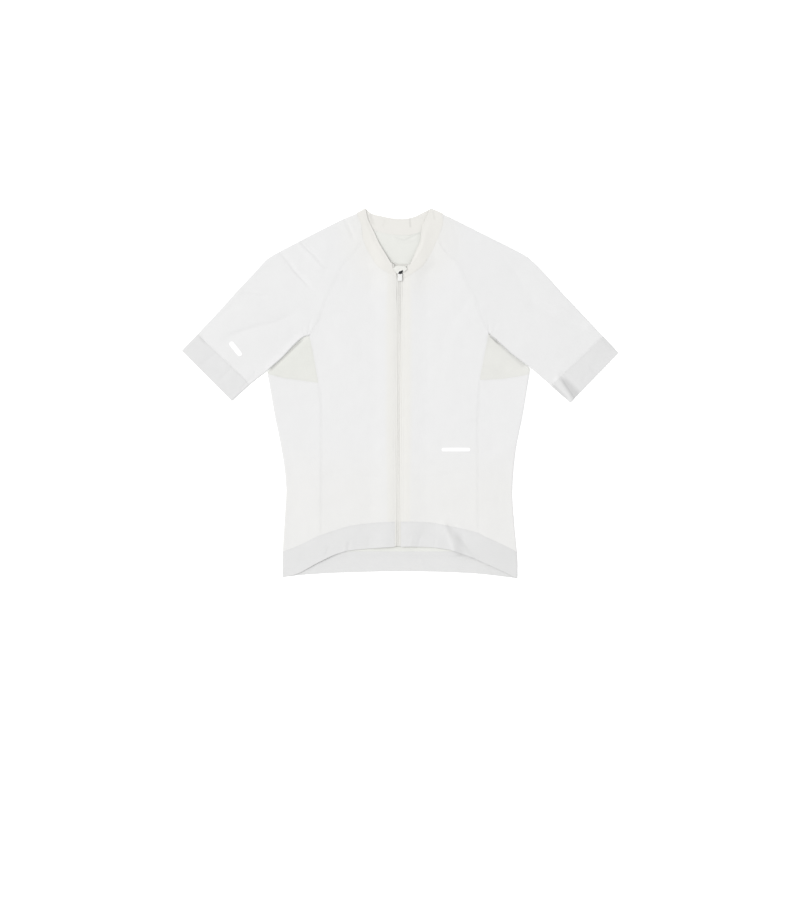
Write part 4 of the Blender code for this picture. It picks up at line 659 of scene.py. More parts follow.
def shell(name, laid, material, wall=T, bulge=0.32, sewn=()):
    """Closed thin wall on a laid grid, with rounded rims.  The wall is one
    thickness, or a grid of them.  Rims named as sewn stand out less."""
    p, n = laid
    ni, nj = p.shape[:2]
    count = ni * nj
    wall = np.broadcast_to(np.asarray(wall, float), (ni, nj))
    outer, inner = p + n * 0.5 * wall[..., None], p - n * 0.5 * wall[..., None]
    verts = [outer.reshape(-1, 3), inner.reshape(-1, 3)]
    index = np.arange(count).reshape(ni, nj)
    a, b, c, d = index[:-1, :-1], index[1:, :-1], index[1:, 1:], index[:-1, 1:]
    faces = [np.stack([a, b, c, d], -1).reshape(-1, 4),
             np.stack([a, d, c, b], -1).reshape(-1, 4) + count]
    ring = ([(i, 0) for i in range(ni)] + [(ni - 1, j) for j in range(1, nj)]
            + [(i, nj - 1) for i in range(ni - 2, -1, -1)] + [(0, j) for j in range(nj - 2, 0, -1)])
    ring = np.array(ring)
    rim = index[ring[:, 0], ring[:, 1]]
    # outward direction at the rim, for its rounding
    mid = p[ring[:, 0], ring[:, 1]]
    toward = p[np.clip(ring[:, 0], 1, ni - 2), np.clip(ring[:, 1], 1, nj - 2)]
    away = mid - toward
    nn = n[ring[:, 0], ring[:, 1]]
    away -= nn * (away * nn).sum(1)[:, None]
    away /= np.maximum(1e-9, np.linalg.norm(away, axis=1))[:, None]
    swell = np.full(len(ring), bulge)
    for edge, on in (("first", ring[:, 0] == 0), ("last", ring[:, 0] == ni - 1),
                     ("start", ring[:, 1] == 0), ("end", ring[:, 1] == nj - 1)):
        if edge in sewn:
            swell[on] = SEWN_BULGE
    verts.append(mid + away * (wall[ring[:, 0], ring[:, 1]] * swell)[:, None])
    middle = 2 * count + np.arange(len(ring))
    nxt = np.roll(np.arange(len(ring)), -1)
    faces.append(np.stack([rim, middle, middle[nxt], rim[nxt]], -1))
    faces.append(np.stack([middle, rim + count, rim[nxt] + count, middle[nxt]], -1))
    verts = np.vstack(verts)
    faces = np.vstack(faces)
    tri = verts[faces[:, [0, 1, 2]]]
    volume = (tri[:, 0] * np.cross(tri[:, 1], tri[:, 2])).sum()
    tri = verts[faces[:, [0, 2, 3]]]
    volume += (tri[:, 0] * np.cross(tri[:, 1], tri[:, 2])).sum()
    if volume < 0:
        faces = faces[:, ::-1]
    return mesh_object(name, verts, faces, material, sharp=65)


def finish_piece(obj, node=None, body="jersey"):
    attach(obj, body)
    if node:
        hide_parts(*([node] if isinstance(node, str) else node))
    return obj


# ------------------------------------------------------------- materials
class Nodes:
    """A material's node tree, with short names for what it is made of."""

    def __init__(self, name, colour, roughness, sheen=0.0, metallic=0.0, specular=0.5):
        self.material = bpy.data.materials.new(name)
        self.material.use_nodes = True
        self.tree = self.material.node_tree
        self.shader = self.tree.nodes["Principled BSDF"]
        self.shader.inputs["Base Color"].default_value = (*colour, 1.0)
        self.shader.inputs["Roughness"].default_value = roughness
        self.shader.inputs["Metallic"].default_value = metallic
        self.shader.inputs["Specular IOR Level"].default_value = specular
        self.shader.inputs["Sheen Weight"].default_value = sheen
        self.shader.inputs["Sheen Roughness"].default_value = 0.45
        self.colour = colour
        where = self.tree.nodes.new("ShaderNodeTexCoord")
        self.place = where.outputs["Object"]

    def put(self, socket, value):
        if isinstance(value, bpy.types.NodeSocket):
            self.tree.links.new(value, socket)
        else:
            socket.default_value = value

    def math(self, kind, a, b=None, c=None):
        node = self.tree.nodes.new("ShaderNodeMath")
        node.operation = kind
        for k, value in enumerate((a, b, c)):
            if value is not None:
                self.put(node.inputs[k], value)
        return node.outputs[0]

    def turned(self, degrees):
        """x and y of the piece, turned so that the grain lies along y."""
        node = self.tree.nodes.new("ShaderNodeMapping")
        node.vector_type = "POINT"
        node.inputs["Rotation"].default_value = (0.0, 0.0, math.radians(degrees))
        self.put(node.inputs["Vector"], self.place)
        apart = self.tree.nodes.new("ShaderNodeSeparateXYZ")
        self.put(apart.inputs[0], node.outputs[0])
        return apart.outputs[0], apart.outputs[1], apart.outputs[2]

    def wave(self, value, pitch, phase=0.0):
        """-1 to 1, once each pitch (mm)."""
        return self.math("SINE", self.math("MULTIPLY_ADD", value, 2 * math.pi / (pitch * MM), phase))

    def noise(self, size, detail=2.0, rough=0.5, vector=None):
        node = self.tree.nodes.new("ShaderNodeTexNoise")
        node.inputs["Scale"].default_value = 1.0 / (size * MM)
        node.inputs["Detail"].default_value = detail
        node.inputs["Roughness"].default_value = rough
        self.put(node.inputs["Vector"], vector if vector is not None else self.place)
        return node.outputs[0]

    def ramp(self, value, low, high, out_low, out_high, smooth=False):
        node = self.tree.nodes.new("ShaderNodeMapRange")
        node.interpolation_type = "SMOOTHSTEP" if smooth else "LINEAR"
        node.inputs["From Min"].default_value = low
        node.inputs["From Max"].default_value = high
        node.inputs["To Min"].default_value = out_low
        node.inputs["To Max"].default_value = out_high
        self.put(node.inputs["Value"], value)
        return node.outputs[0]

    def bump(self, height, distance, strength=1.0, after=None):
        node = self.tree.nodes.new("ShaderNodeBump")
        node.inputs["Distance"].default_value = distance * MM
        node.inputs["Strength"].default_value = strength
        self.put(node.inputs["Height"], height)
        if after is not None:
            self.put(node.inputs["Normal"], after)
        self.put(self.shader.inputs["Normal"], node.outputs[0])
        return node.outputs[0]

    def tint(self, factor, share=None, other=None):
        """Base colour times factor, a number near 1 that varies; share of it
        is the other colour."""
        node = self.tree.nodes.new("ShaderNodeVectorMath")
        node.operation = "SCALE"
        node.inputs[0].default_value = self.colour
        if share is not None:
            mix = self.tree.nodes.new("ShaderNodeMix")
            mix.data_type = "VECTOR"
            self.put(mix.inputs[0], share)
            mix.inputs[4].default_value = self.colour
            mix.inputs[5].default_value = [c * o for c, o in zip(self.colour, other)]
            self.put(node.inputs[0], mix.outputs[1])
        self.put(node.inputs["Scale"], factor)
        self.put(self.shader.inputs["Base Color"], node.outputs[0])


# Painted shade: where the cloth's colour is made darker to stand for the shade in folds, slits and gaps too deep and
# narrow for light to reach:
#          from x, y         to x, y        half width from, to  share  fade in, out
PAINTED_SHADE_BANDS = {
    "mesh_l": [(-170.0, 97.6, -233.0, 38.6, 3.6, 5.6, 0.25, 0.14, 0.10)],
    "mesh_r": [(164.0, 96.0, 223.0, 46.5, 3.6, 7.5, 0.13, 0.10, 0.08),
               (158.0, 101.4, 181.0, 81.5, 2.0, 2.6, 0.36, 0.12, 0.55)],
    "sleeve_l": [(-242.0, 34.4, -268.0, 12.6, 2.6, 3.0, 0.08, 0.20, 0.01)],
    "sleeve_r": [(157.0, 106.0, 197.2, 69.9, 1.8, 2.6, 0.15, 0.08, 0.01),
                 (197.2, 69.9, 230.0, 45.3, 2.8, 3.0, 0.12, 0.01, 0.20),
                 (78.0, 316.0, 71.0, 280.0, 1.6, 1.9, 0.07, 0.10, 0.30)],
    "cuff_l": [(-356.0, 104.0, -343.0, 86.0, 4.5, 5.5, 0.05, 0.01, 0.40),
               (-266.0, 14.6, -298.0, -14.0, 3.0, 3.4, 0.09, 0.01, 0.20),
               (-256.0, 44.0, -259.0, 19.0, 2.0, 3.0, 0.04, 0.25, 0.10)],
    "cuff_r": [(284.0, 31.0, 315.0, -7.0, 6.5, 15.0, 0.16, 0.30, 0.01),
               (270.0, 15.0, 297.0, -12.0, 4.4, 5.6, 0.10, 0.10, 0.15),
               (357.0, 101.0, 384.0, 74.0, 6.5, 7.0, 0.06, 0.10, 0.10),
               (331.0, 52.0, 344.0, 33.0, 3.0, 4.5, 0.025, 0.30, 0.30)],
    "hem":    [(100.0, -240.0, 107.0, -292.0, 10.0, 15.0, 0.09, 0.35, 0.01),
               (-132.0, -257.0, -126.0, -300.0, 7.0, 9.0, 0.02, 0.45, 0.01)],
    "collar": [(17.0, 311.0, 18.6, 291.0, 2.6, 3.6, 0.12, 0.05, 0.25),
               (-54.0, 318.0, -46.0, 294.0, 5.5, 5.0, 0.09, 0.10, 0.45),
               (58.0, 323.0, 62.0, 304.0, 3.0, 3.4, 0.06, 0.10, 0.30),
               (-26.0, 309.0, -31.0, 292.0, 4.0, 5.0, 0.03, 0.20, 0.30)],
    "guard":  [(-17.0, 231.2, -6.4, 227.2, 1.7, 1.7, 0.16, 0.10, 0.20),
               (-8.0, 227.4, 14.0, 227.4, 1.6, 1.6, 0.06, 0.15, 0.15)],
    "back":   [(-43.0, 289.5, -9.0, 280.3, 1.3, 1.5, 0.10, 0.10, 0.10),
               (-13.0, 281.0, 20.0, 279.6, 1.5, 1.5, 0.10, 0.10, 0.10),
               (16.0, 279.2, 42.0, 289.0, 1.5, 1.3, 0.10, 0.10, 0.10),
               (-15.0, 278.0, 10.0, 269.6, 2.0, 3.4, 0.05, 0.40, 0.15),
               (6.0, 269.8, 38.0, 286.0, 3.0, 3.6, 0.075, 0.15, 0.15)],
}
# From this height up (mm) the painted shade shows; that on the back layer's inner
# face lies lower
PAINTED_SHADE_FROM = {"collar": 0.55, "back": 0.55}


def painted_shade(m, name, factor):
    """The factor, made smaller where shade is painted on the piece."""
    x, y, z = m.turned(0.0)
    for ax, ay, bx, by, wide_a, wide_b, depth, fade_in, fade_out in PAINTED_SHADE_BANDS[name]:
        length = math.hypot(bx - ax, by - ay)
        ux, uy = (bx - ax) / length, (by - ay) / length
        dx, dy = m.math("ADD", x, -ax * MM), m.math("ADD", y, -ay * MM)
        run = m.math("DIVIDE", m.math("ADD", m.math("MULTIPLY", dx, ux), m.math("MULTIPLY", dy, uy)), length * MM)
        off = m.math("ABSOLUTE", m.math("SUBTRACT", m.math("MULTIPLY", dy, ux), m.math("MULTIPLY", dx, uy)))
        wide = m.ramp(run, 0.0, 1.0, wide_a * MM, wide_b * MM)
        near = m.ramp(m.math("DIVIDE", off, wide), 0.0, 1.0, 1.0, 0.0, smooth=True)
        ends = m.math("MULTIPLY", m.ramp(run, 0.0, fade_in, 0.0, 1.0, smooth=True),
                      m.ramp(run, 1.0 - fade_out, 1.0, 1.0, 0.0, smooth=True))
        least = PAINTED_SHADE_FROM.get(name, 1.2)
        upper = m.ramp(z, (least - 0.12) * MM, (least + 0.12) * MM, 0.0, 1.0)
        share = m.math("MULTIPLY", m.math("MULTIPLY", near, ends), upper)
        factor = m.math("MULTIPLY", factor, m.math("SUBTRACT", 1.0, m.math("MULTIPLY", share, depth)))
    return factor


def near_zip(m, where):
    """1 along the zip, less near the neck and above the hem, 0 elsewhere."""
    off = m.math("ABSOLUTE", m.math("ADD", where[0], 0.0023))
    beside = m.math("MAXIMUM", m.ramp(off, 0.016, 0.028, 1.0, 0.0, smooth=True), near_neck(m, where))
    return m.math("MAXIMUM", beside, above_hem(m, where))


def above_hem(m, where):
    return m.ramp(where[1], -0.19, -0.06, 0.40, 0.0, smooth=True)


def near_neck(m, where):
    """Half of the same around the neck, falling away over the shoulders."""
    dy = m.math("SUBTRACT", where[1], 0.275)
    far = m.math("SQRT", m.math("ADD", m.math("MULTIPLY", where[0], where[0]), m.math("MULTIPLY", dy, dy)))
    return m.ramp(far, 0.062, 0.128, 0.55, 0.0, smooth=True)


def painted_inner_shade(m, where):
    """1 on the back's inner face below the collar and above the hem band,
    where it gets painted shade: a little darker and warmer."""
    high = m.math("MAXIMUM", m.ramp(where[1], 0.221, 0.229, 0.0, 1.0), m.ramp(where[1], -0.268, -0.262, 1.0, 0.0))
    upper = m.ramp(where[2], 0.0004, 0.0006, 0.0, 1.0)
    return m.math("MULTIPLY", high, upper)


# 1 towards the right, where the hem band is painted a little darker: painted shade
def painted_right_shade(m, where):
    return m.ramp(where[0], 0.09, 0.20, 0.0, 1.0)


def knit(name, colour, grain=0.0, wale=0.95, course=0.8, depth=0.09, sheen=0.12, cloud=0.004, rough=0.78,
         share=None, other=None, dark=None):
    """Fine warp knit: loops in upright wales, staggered by half a course."""
    m = Nodes(name, colour, rough, sheen, specular=0.25)
    x, y, z = m.turned(grain)
    across = m.wave(x, wale)
    lean = m.wave(x, wale * 2.0)
    loops = m.wave(m.math("ADD", y, m.math("MULTIPLY", lean, 0.25 * course * MM)), course)
    height = m.math("ADD", m.math("MULTIPLY", across, 0.5), m.math("MULTIPLY", loops, 0.28))
    fibre = m.noise(0.35, 2.0, 0.6)
    height = m.math("ADD", height, m.math("MULTIPLY", fibre, 0.35))
    first = m.bump(height, depth)
    slow = m.noise(26.0, 3.0, 0.55)
    m.bump(slow, 0.35, 0.6, first)
    grey = m.ramp(slow, 0.3, 0.7, 1.0 - cloud, 1.0 + cloud)
    # the low parts of the loops are painted a little darker: painted shade in the knit
    fine = m.ramp(height, -0.6, 1.1, 0.985, 1.006)
    shade = m.math("MULTIPLY", grey, fine)
    m.tint(painted_shade(m, dark, shade) if dark else shade, share(m, m.turned(0.0)) if share else None, other)
    m.put(m.shader.inputs["Roughness"], m.ramp(fibre, 0.3, 0.7, rough - 0.05, rough + 0.06))
    return m.material


def mesh_knit(name, colour, dark):
    """Open mesh knit: small eyelets in staggered rows."""
    m = Nodes(name, colour, 0.82, 0.10, specular=0.2)
    x, y, z = m.turned(12.0)
    a = m.wave(m.math("ADD", x, m.math("MULTIPLY", y, 0.577)), 1.75)
    b = m.wave(m.math("SUBTRACT", x, m.math("MULTIPLY", y, 0.577)), 1.75, 1.57)
    cell = m.math("MULTIPLY", m.math("ADD", a, b), 0.5)
    hole = m.ramp(cell, 0.30, 0.78, 0.0, 1.0)
    fibre = m.noise(0.4, 2.0, 0.6)
    height = m.math("SUBTRACT", m.math("MULTIPLY", fibre, 0.3), hole)
    first = m.bump(height, 0.16)
    slow = m.noise(24.0, 2.0, 0.5)
    m.bump(slow, 0.3, 0.5, first)
    # the eyelets are not cut through: they are painted darker, as painted shade inside them, and the knit between a
    # little lighter
    shade = m.math("MULTIPLY", m.ramp(hole, 0.0, 1.0, 1.02, 0.88), m.ramp(slow, 0.3, 0.7, 0.988, 1.012))
    m.tint(painted_shade(m, dark, shade))
    m.put(m.shader.inputs["Roughness"], m.ramp(fibre, 0.3, 0.7, 0.78, 0.88))
    return m.material


def ribbed(name, colour, grain, pitch=1.35, depth=0.11, rough=0.72, lines=3.2, share=None, other=None, dark=None):
    """Woven elastic: fine ribs one way and fainter picks the other way."""
    m = Nodes(name, colour, rough, 0.08, specular=0.3)
    x, y, z = m.turned(grain)
    rib = m.wave(x, pitch)
    pick = m.wave(y, 0.7)
    band = m.wave(y, lines)
    fibre = m.noise(0.4, 2.0, 0.6)
    height = m.math("ADD", m.math("MULTIPLY", rib, 0.5), m.math("MULTIPLY", pick, 0.2))
    height = m.math("ADD", height, m.math("MULTIPLY", band, 0.12))
    height = m.math("ADD", height, m.math("MULTIPLY", fibre, 0.3))
    first = m.bump(height, depth)
    slow = m.noise(30.0, 3.0, 0.5)
    m.bump(slow, 0.3, 0.5, first)
    # the grooves between the ribs are painted a little darker: painted shade
    shade = m.math("MULTIPLY", m.ramp(height, -0.7, 1.0, 0.982, 1.008), m.ramp(slow, 0.3, 0.7, 0.99, 1.01))
    m.tint(painted_shade(m, dark, shade) if dark else shade, share(m, m.turned(0.0)) if share else None, other)
    m.put(m.shader.inputs["Roughness"], m.ramp(fibre, 0.3, 0.7, rough - 0.05, rough + 0.06))
    return m.material


def zip_tone(m, factor):
    """Zip tape and coil: greyer in the hem band and towards the neck."""
    y = m.turned(0.0)[1]
    low = m.ramp(y, -0.230, -0.222, 0.940, 1.0, smooth=True)
    high = m.ramp(y, 0.06, 0.16, 1.0, 0.962, smooth=True)
    return m.math("MULTIPLY", factor, m.math("MULTIPLY", low, high))


def woven(name, colour, grain=0.0, pitch=0.9, depth=0.09, rough=0.62):
    """Herringbone tape."""
    m = Nodes(name, colour, rough, 0.05, specular=0.35)
    x, y, z = m.turned(grain)
    zig = m.math("ABSOLUTE", m.wave(x, 5.2))
    twill = m.wave(m.math("ADD", y, m.math("MULTIPLY", zig, 1.1 * MM)), pitch)
    fibre = m.noise(0.3, 2.0, 0.6)
    height = m.math("ADD", m.math("MULTIPLY", twill, 0.5), m.math("MULTIPLY", fibre, 0.3))
    m.bump(height, depth)
    # the low parts of the weave are painted a little darker: painted shade between the threads
    m.tint(zip_tone(m, m.ramp(height, -0.5, 0.8, 0.97, 1.01)))
    m.put(m.shader.inputs["Roughness"], m.ramp(fibre, 0.3, 0.7, rough - 0.06, rough + 0.06))
    return m.material


def plastic(name, colour, rough=0.35, grain=0.02, metallic=0.0, coat=0.0, specular=0.5, tone=False):
    m = Nodes(name, colour, rough, metallic=metallic, specular=specular)
    m.shader.inputs["Coat Weight"].default_value = coat
    fine = m.noise(0.5, 3.0, 0.6)
    m.bump(fine, grain)
    wear = m.noise(3.5, 3.0, 0.6)
    shade = m.ramp(wear, 0.3, 0.7, 0.97, 1.02)
    m.tint(zip_tone(m, shade) if tone else shade)
    m.put(m.shader.inputs["Roughness"], m.ramp(wear, 0.3, 0.7, rough - 0.06, rough + 0.07))
    return m.material


def thread_look(name, colour):
    m = Nodes(name, colour, 0.55, 0.1, specular=0.4)
    x, y, z = m.turned(0.0)
    twist = m.wave(m.math("ADD", m.math("ADD", x, y), z), 0.42)
    m.bump(twist, 0.012)
    # the grooves of the twist are painted a little darker: painted shade
    m.tint(m.ramp(twist, -1.0, 1.0, 0.96, 1.01))
    m.put(m.shader.inputs["Roughness"], m.ramp(twist, -1.0, 1.0, 0.5, 0.62))
    return m.material


WHITE = (0.742, 0.742, 0.742)
WARM = (1.0, 0.991, 0.957)
KNIT = knit("knit_body", WHITE, share=above_hem, other=WARM)
KNIT_FRONT = knit("knit_front", WHITE, share=near_zip, other=WARM)
# the back's inner face inside the neck and above the hem band gets painted shade, a little darker and warmer
KNIT_BACK = knit("knit_back", WHITE, share=painted_inner_shade, other=(0.975, 0.982, 0.938), dark="back")
KNIT_L = knit("knit_sleeve_l", WHITE, grain=-47.0, share=near_neck, other=WARM, dark="sleeve_l")
# the right sleeve's knit is painted a little darker than the left one: painted shade on the side away from the light
KNIT_R = knit("knit_sleeve_r", (0.730, 0.730, 0.730), grain=47.0, share=near_neck, other=WARM, dark="sleeve_r")
MESH_L = mesh_knit("knit_mesh_l", (0.706, 0.710, 0.676), "mesh_l")
MESH_R = mesh_knit("knit_mesh_r", (0.706, 0.706, 0.677), "mesh_r")
CUFF_L = ribbed("elastic_cuff_l", (0.688, 0.688, 0.688), -47.0, dark="cuff_l")
# the right cuff's elastic is painted darker than the left one: painted shade of its deep fold
CUFF_R = ribbed("elastic_cuff_r", (0.672, 0.672, 0.672), 47.0, dark="cuff_r")
COLLAR = knit("knit_collar", (0.731, 0.720, 0.689), wale=0.8, course=0.7, depth=0.07, dark="collar")
# the hem band is painted darker towards the right and in its folds: painted shade
BAND = ribbed("elastic_hem", (0.678, 0.678, 0.676), 0.0, pitch=1.5, lines=4.4, share=painted_right_shade,
              other=(0.972, 0.972, 0.972), dark="hem")
POCKET = knit("knit_pocket", WHITE, wale=1.05, course=0.85, depth=0.10)
GUARD = knit("knit_guard", (0.668, 0.664, 0.634), wale=0.8, course=0.7, depth=0.06, dark="guard")
GARAGE = knit("knit_garage", (0.722, 0.722, 0.690), wale=0.8, course=0.7, depth=0.05)
BINDING = thread_look("binding_white", (0.85, 0.85, 0.83))
TAPE = woven("tape_weave", (0.735, 0.728, 0.700), depth=0.04)
COIL = plastic("coil_nylon", (0.748, 0.740, 0.712), rough=0.5, tone=True)
DARK = plastic("slider_lacquer", (0.030, 0.030, 0.033), rough=0.38, metallic=0.55, coat=0.15)
TAB = plastic("pull_moulded", (0.745, 0.745, 0.735), rough=0.42)
THREAD = thread_look("thread_white", (0.735, 0.735, 0.728))
SILICONE = plastic("silicone", (0.70, 0.70, 0.69), rough=0.35, grain=0.01, specular=0.4)
FILM = plastic("transfer_film", (0.93, 0.93, 0.93), rough=0.42, grain=0.015, specular=0.4)


# ------------------------------------------------------------- cloth pieces
left = dict(side="l", hint=1.0, shoulder=SHOULDER_L, low=SLEEVE_LOW_L, cuff_top=CUFF_TOP_L,
            cuff_low=CUFF_LOW_L, slit=SLIT_L, fold=SIDE_L, raglan_f=RAGLAN_FRONT_L,
            raglan_b=RAGLAN_BACK_L, gusset_in=GUSSET_IN_L, gusset_low=GUSSET_LOW_L,
            seam_f=SEAM_FRONT_L, seam_b=SEAM_BACK_L, neck_sleeve=NECK_SLEEVE_L,
            neck_front=NECK_FRONT_L, neck_back=NECK_BACK_L, hem_side=HEM_SIDE_L,
            hem_front=HEM_FRONT_L, knit=KNIT_L, elastic=CUFF_L, mesh=MESH_L, fine=1.35)
right = dict(side="r", hint=-1.0, shoulder=SHOULDER_R, low=SLEEVE_LOW_R, cuff_top=CUFF_TOP_R,
             cuff_low=CUFF_LOW_R, slit=SLIT_R, fold=SIDE_R, raglan_f=RAGLAN_FRONT_R,
             raglan_b=RAGLAN_BACK_R, gusset_in=GUSSET_IN_R, gusset_low=GUSSET_LOW_R,
             seam_f=SEAM_FRONT_R, seam_b=SEAM_BACK_R, neck_sleeve=NECK_SLEEVE_R,
             neck_front=NECK_FRONT_R, neck_back=NECK_BACK_R, hem_side=HEM_SIDE_R,
             hem_front=HEM_FRONT_R, knit=KNIT_R, elastic=CUFF_R, mesh=MESH_R, fine=1.9)

HALF = 0.5 * GAP + SEWN_BULGE * T
ALL = ("first", "last", "start", "end")
grids = {}


def keep(name, laid, material, slot, **more):
    grids[name] = laid
    finish_piece(shell("cloth_" + name, laid, material, **more), name)


def front_panel(s):
    cell = 2.3
    curves = [flip(s["seam_f"]), flip(s["gusset_in"]), flip(s["raglan_f"])]
    ats = [spread(long_of(c), cell, k == 0, k == 2) for k, c in enumerate(curves)]
    outer = chain(curves, ats)
    at = spread(131.0, cell)
    neck, hem = along(s["neck_front"], at), along(s["hem_front"], at)
    part = shares(outer)
    ys = hem[-1, 1] + (neck[-1, 1] - hem[-1, 1]) * part
    zip_edge = np.column_stack([zip_x(ys) - s["hint"] * FRONT_IN, ys])
    hem[-1], neck[-1] = zip_edge[0], zip_edge[-1]
    laid = lay_front(patch(outer, zip_edge, hem, neck))
    laid = edge_move(laid, first=HALF, start=HALF, end=HALF)
    laid = seam_roll(laid, first=ROLL, start=ROLL, end=ROLL)
    laid, wall = zip_edge_thin(laid, last=True)
    keep("front_" + s["side"], laid, KNIT_FRONT, "knit", wall=wall, sewn=("first", "start", "end"))


def back_panel():
    cell = 3.2
    sides, ats = [], None
    for s in (left, right):
        curves = [flip(s["seam_b"]), flip(s["gusset_in"]), flip(s["raglan_b"])]
        if ats is None:
            ats = [spread(long_of(c), cell, k == 0, k == 2) for k, c in enumerate(curves)]
        sides.append(chain(curves, ats))
    at = spread(276.0, cell)
    neck = along(NECK_BACK_MID, at)
    hem = straight(sides[0][0], sides[1][0], at)
    laid = lay_back(patch(sides[0], sides[1], hem, neck))
    laid = edge_move(laid, first=HALF, last=HALF, start=HALF, end=HALF)
    keep("back", seam_roll(laid, first=ROLL, last=ROLL, start=ROLL, end=ROLL), KNIT_BACK, "knit", sewn=ALL)


def side_panel(s):
    cell = 2.8
    ats = spread(long_of(s["seam_f"]), cell)
    front_seam = along(s["seam_f"], ats)
    back_seam = along(s["seam_b"], ats)
    outline = along(s["fold"], ats)
    line, outs = fold_line(outline, (s["hint"], 0.0))
    corner = side_corner(s)
    # the fold settles into the shared corner over its first rows
    ease = (1.0 - smooth01(shares(line) * long_of(s["fold"]) / 9.0))[:, None]
    line = line + (corner[0] - line[0]) * ease
    outs = outs + (corner[1] - outs[0]) * ease
    outs /= np.linalg.norm(outs, axis=1)[:, None]
    top = s["gusset_low"] + [tuple(line[0])]
    at = spread(90.0, cell, True, False)
    top_f = along(top, at)
    low_f = along(flip(s["hem_side"]), at)
    low_f[0], low_f[-1] = front_seam[-1], line[-1]
    front = lay_front(patch(front_seam, line, top_f, low_f))
    at_b = 1.0 - at[::-1]
    top_b = along(top, at)[::-1]
    low_b = straight(line[-1], back_seam[-1], at_b)
    back = lay_back(patch(line, back_seam, top_b, low_b))
    laid = stack(front, turn(line, outs, True), back)
    laid = edge_move(laid, first=HALF, last=HALF, start=HALF, end=HALF)
    keep("side_" + s["side"], seam_roll(laid, first=ROLL, last=ROLL, start=ROLL, end=ROLL), KNIT, "knit", sewn=ALL)


def gusset(s):
    cell = 2.3
    corner = side_corner(s)
    low = s["gusset_low"] + [tuple(corner[0])]
    part = long_of(s["gusset_low"]) / long_of(low)
    ats = [spread(86.0, cell, True, False), spread(84.0, cell, False, True)]
    inner = np.vstack([along(s["gusset_in"], ats[0]), dense_at(low, ats[1] * part)[1:]])
    outline = along(s["slit"], shares(np.column_stack([shares(inner), np.zeros(len(inner))])))
    line, outs = fold_line(outline, (s["hint"], -1.0))
    ease = (1.0 - smooth01((1.0 - shares(line)) * long_of(s["slit"]) / 5.0))[:, None]
    line = line + (corner[0] - line[-1]) * ease
    outs = outs + (corner[1] - outs[-1]) * ease
    outs /= np.linalg.norm(outs, axis=1)[:, None]
    # between its corners the fold lies close against the sleeve
    run = shares(line) * long_of(s["slit"])
    line = line + outs * (SLIT_CLOSE * smooth01(run / 9.0) * smooth01((run[-1] - run - 3.0) / 9.0))[:, None]
    # the two corners stand clear of the seams' meeting points
    for pts, move in ((inner, 3.2), (line, 1.6)):
        fade = np.maximum(0.0, 1.0 - shares(pts) * 9.0)[:, None]
        d = pts[3] - pts[0]
        pts += d / np.linalg.norm(d) * move * fade
    at = spread(40.0, cell, True, False)
    first = straight(inner[0], line[0], at)
    last = dense_at(low, part + (1.0 - part) * at)
    front = lay_front(patch(inner, line, first, last))
    back = lay_back(patch(line, inner, first[::-1], last[::-1]))
    laid = stack(front, turn(line, outs, True), back)
    laid = edge_move(laid, first=HALF, last=HALF, start=HALF, end=HALF)
    keep("underarm_" + s["side"], seam_roll(laid, first=ROLL, last=ROLL, start=0.05, end=ROLL), s["mesh"], "mesh_knit",
         sewn=ALL)


def sleeve(s):
    cell_f, cell_b, cell_j = 2.3, 3.8, 2.5
    ats = uneven(300.0, cell_j, s["fine"], 84.0, 206.0)
    top_outline, low_outline = along(s["shoulder"], ats), along(s["low"], ats)
    top_line, top_out = fold_line(top_outline, (0.0, -1.0))
    low_line, low_out = fold_line(low_outline, (-s["hint"], 1.0))
    top_line[0] = s["neck_sleeve"][0]
    a1 = spread(long_of(s["neck_sleeve"]), s["fine"], False, False)
    a2 = uneven(long_of(s["raglan_f"]), cell_f, s["fine"], -20.0, 52.0, False, False)
    inner_f = chain([s["neck_sleeve"], s["raglan_f"]], [a1, a2])
    inner_f[0], inner_f[-1] = top_line[0], low_line[0]
    outer_f = straight(top_line[-1], low_line[-1], shares(inner_f))
    front = lay_front(patch(top_line, low_line, inner_f, outer_f))
    b1 = spread(long_of(s["raglan_b"]), cell_b, False, False)
    b2 = spread(long_of(s["neck_back"]), cell_b, False, False)
    inner_b = chain([flip(s["raglan_b"]), flip(s["neck_back"])], [b1, b2])
    inner_b[0], inner_b[-1] = low_line[0], top_line[0]
    outer_b = straight(low_line[-1], top_line[-1], np.linspace(0, 1, len(inner_b)))
    back = lay_back(patch(low_line, top_line, inner_b, outer_b))
    close = np.column_stack([low_line, back_mid(low_line[:, 0], low_line[:, 1])])[None]
    down = np.zeros_like(close)
    down[..., 2] = -1.0
    laid = stack(back, turn(top_line, top_out, False), front, turn(low_line, low_out, True), (close, down))
    laid = edge_move(laid, first=GAP + 2.0 * SEWN_BULGE * T, start=HALF, end=HALF)
    keep("sleeve_" + s["side"], seam_roll(laid, start=ROLL, end=ROLL), s["knit"], "knit", sewn=ALL)


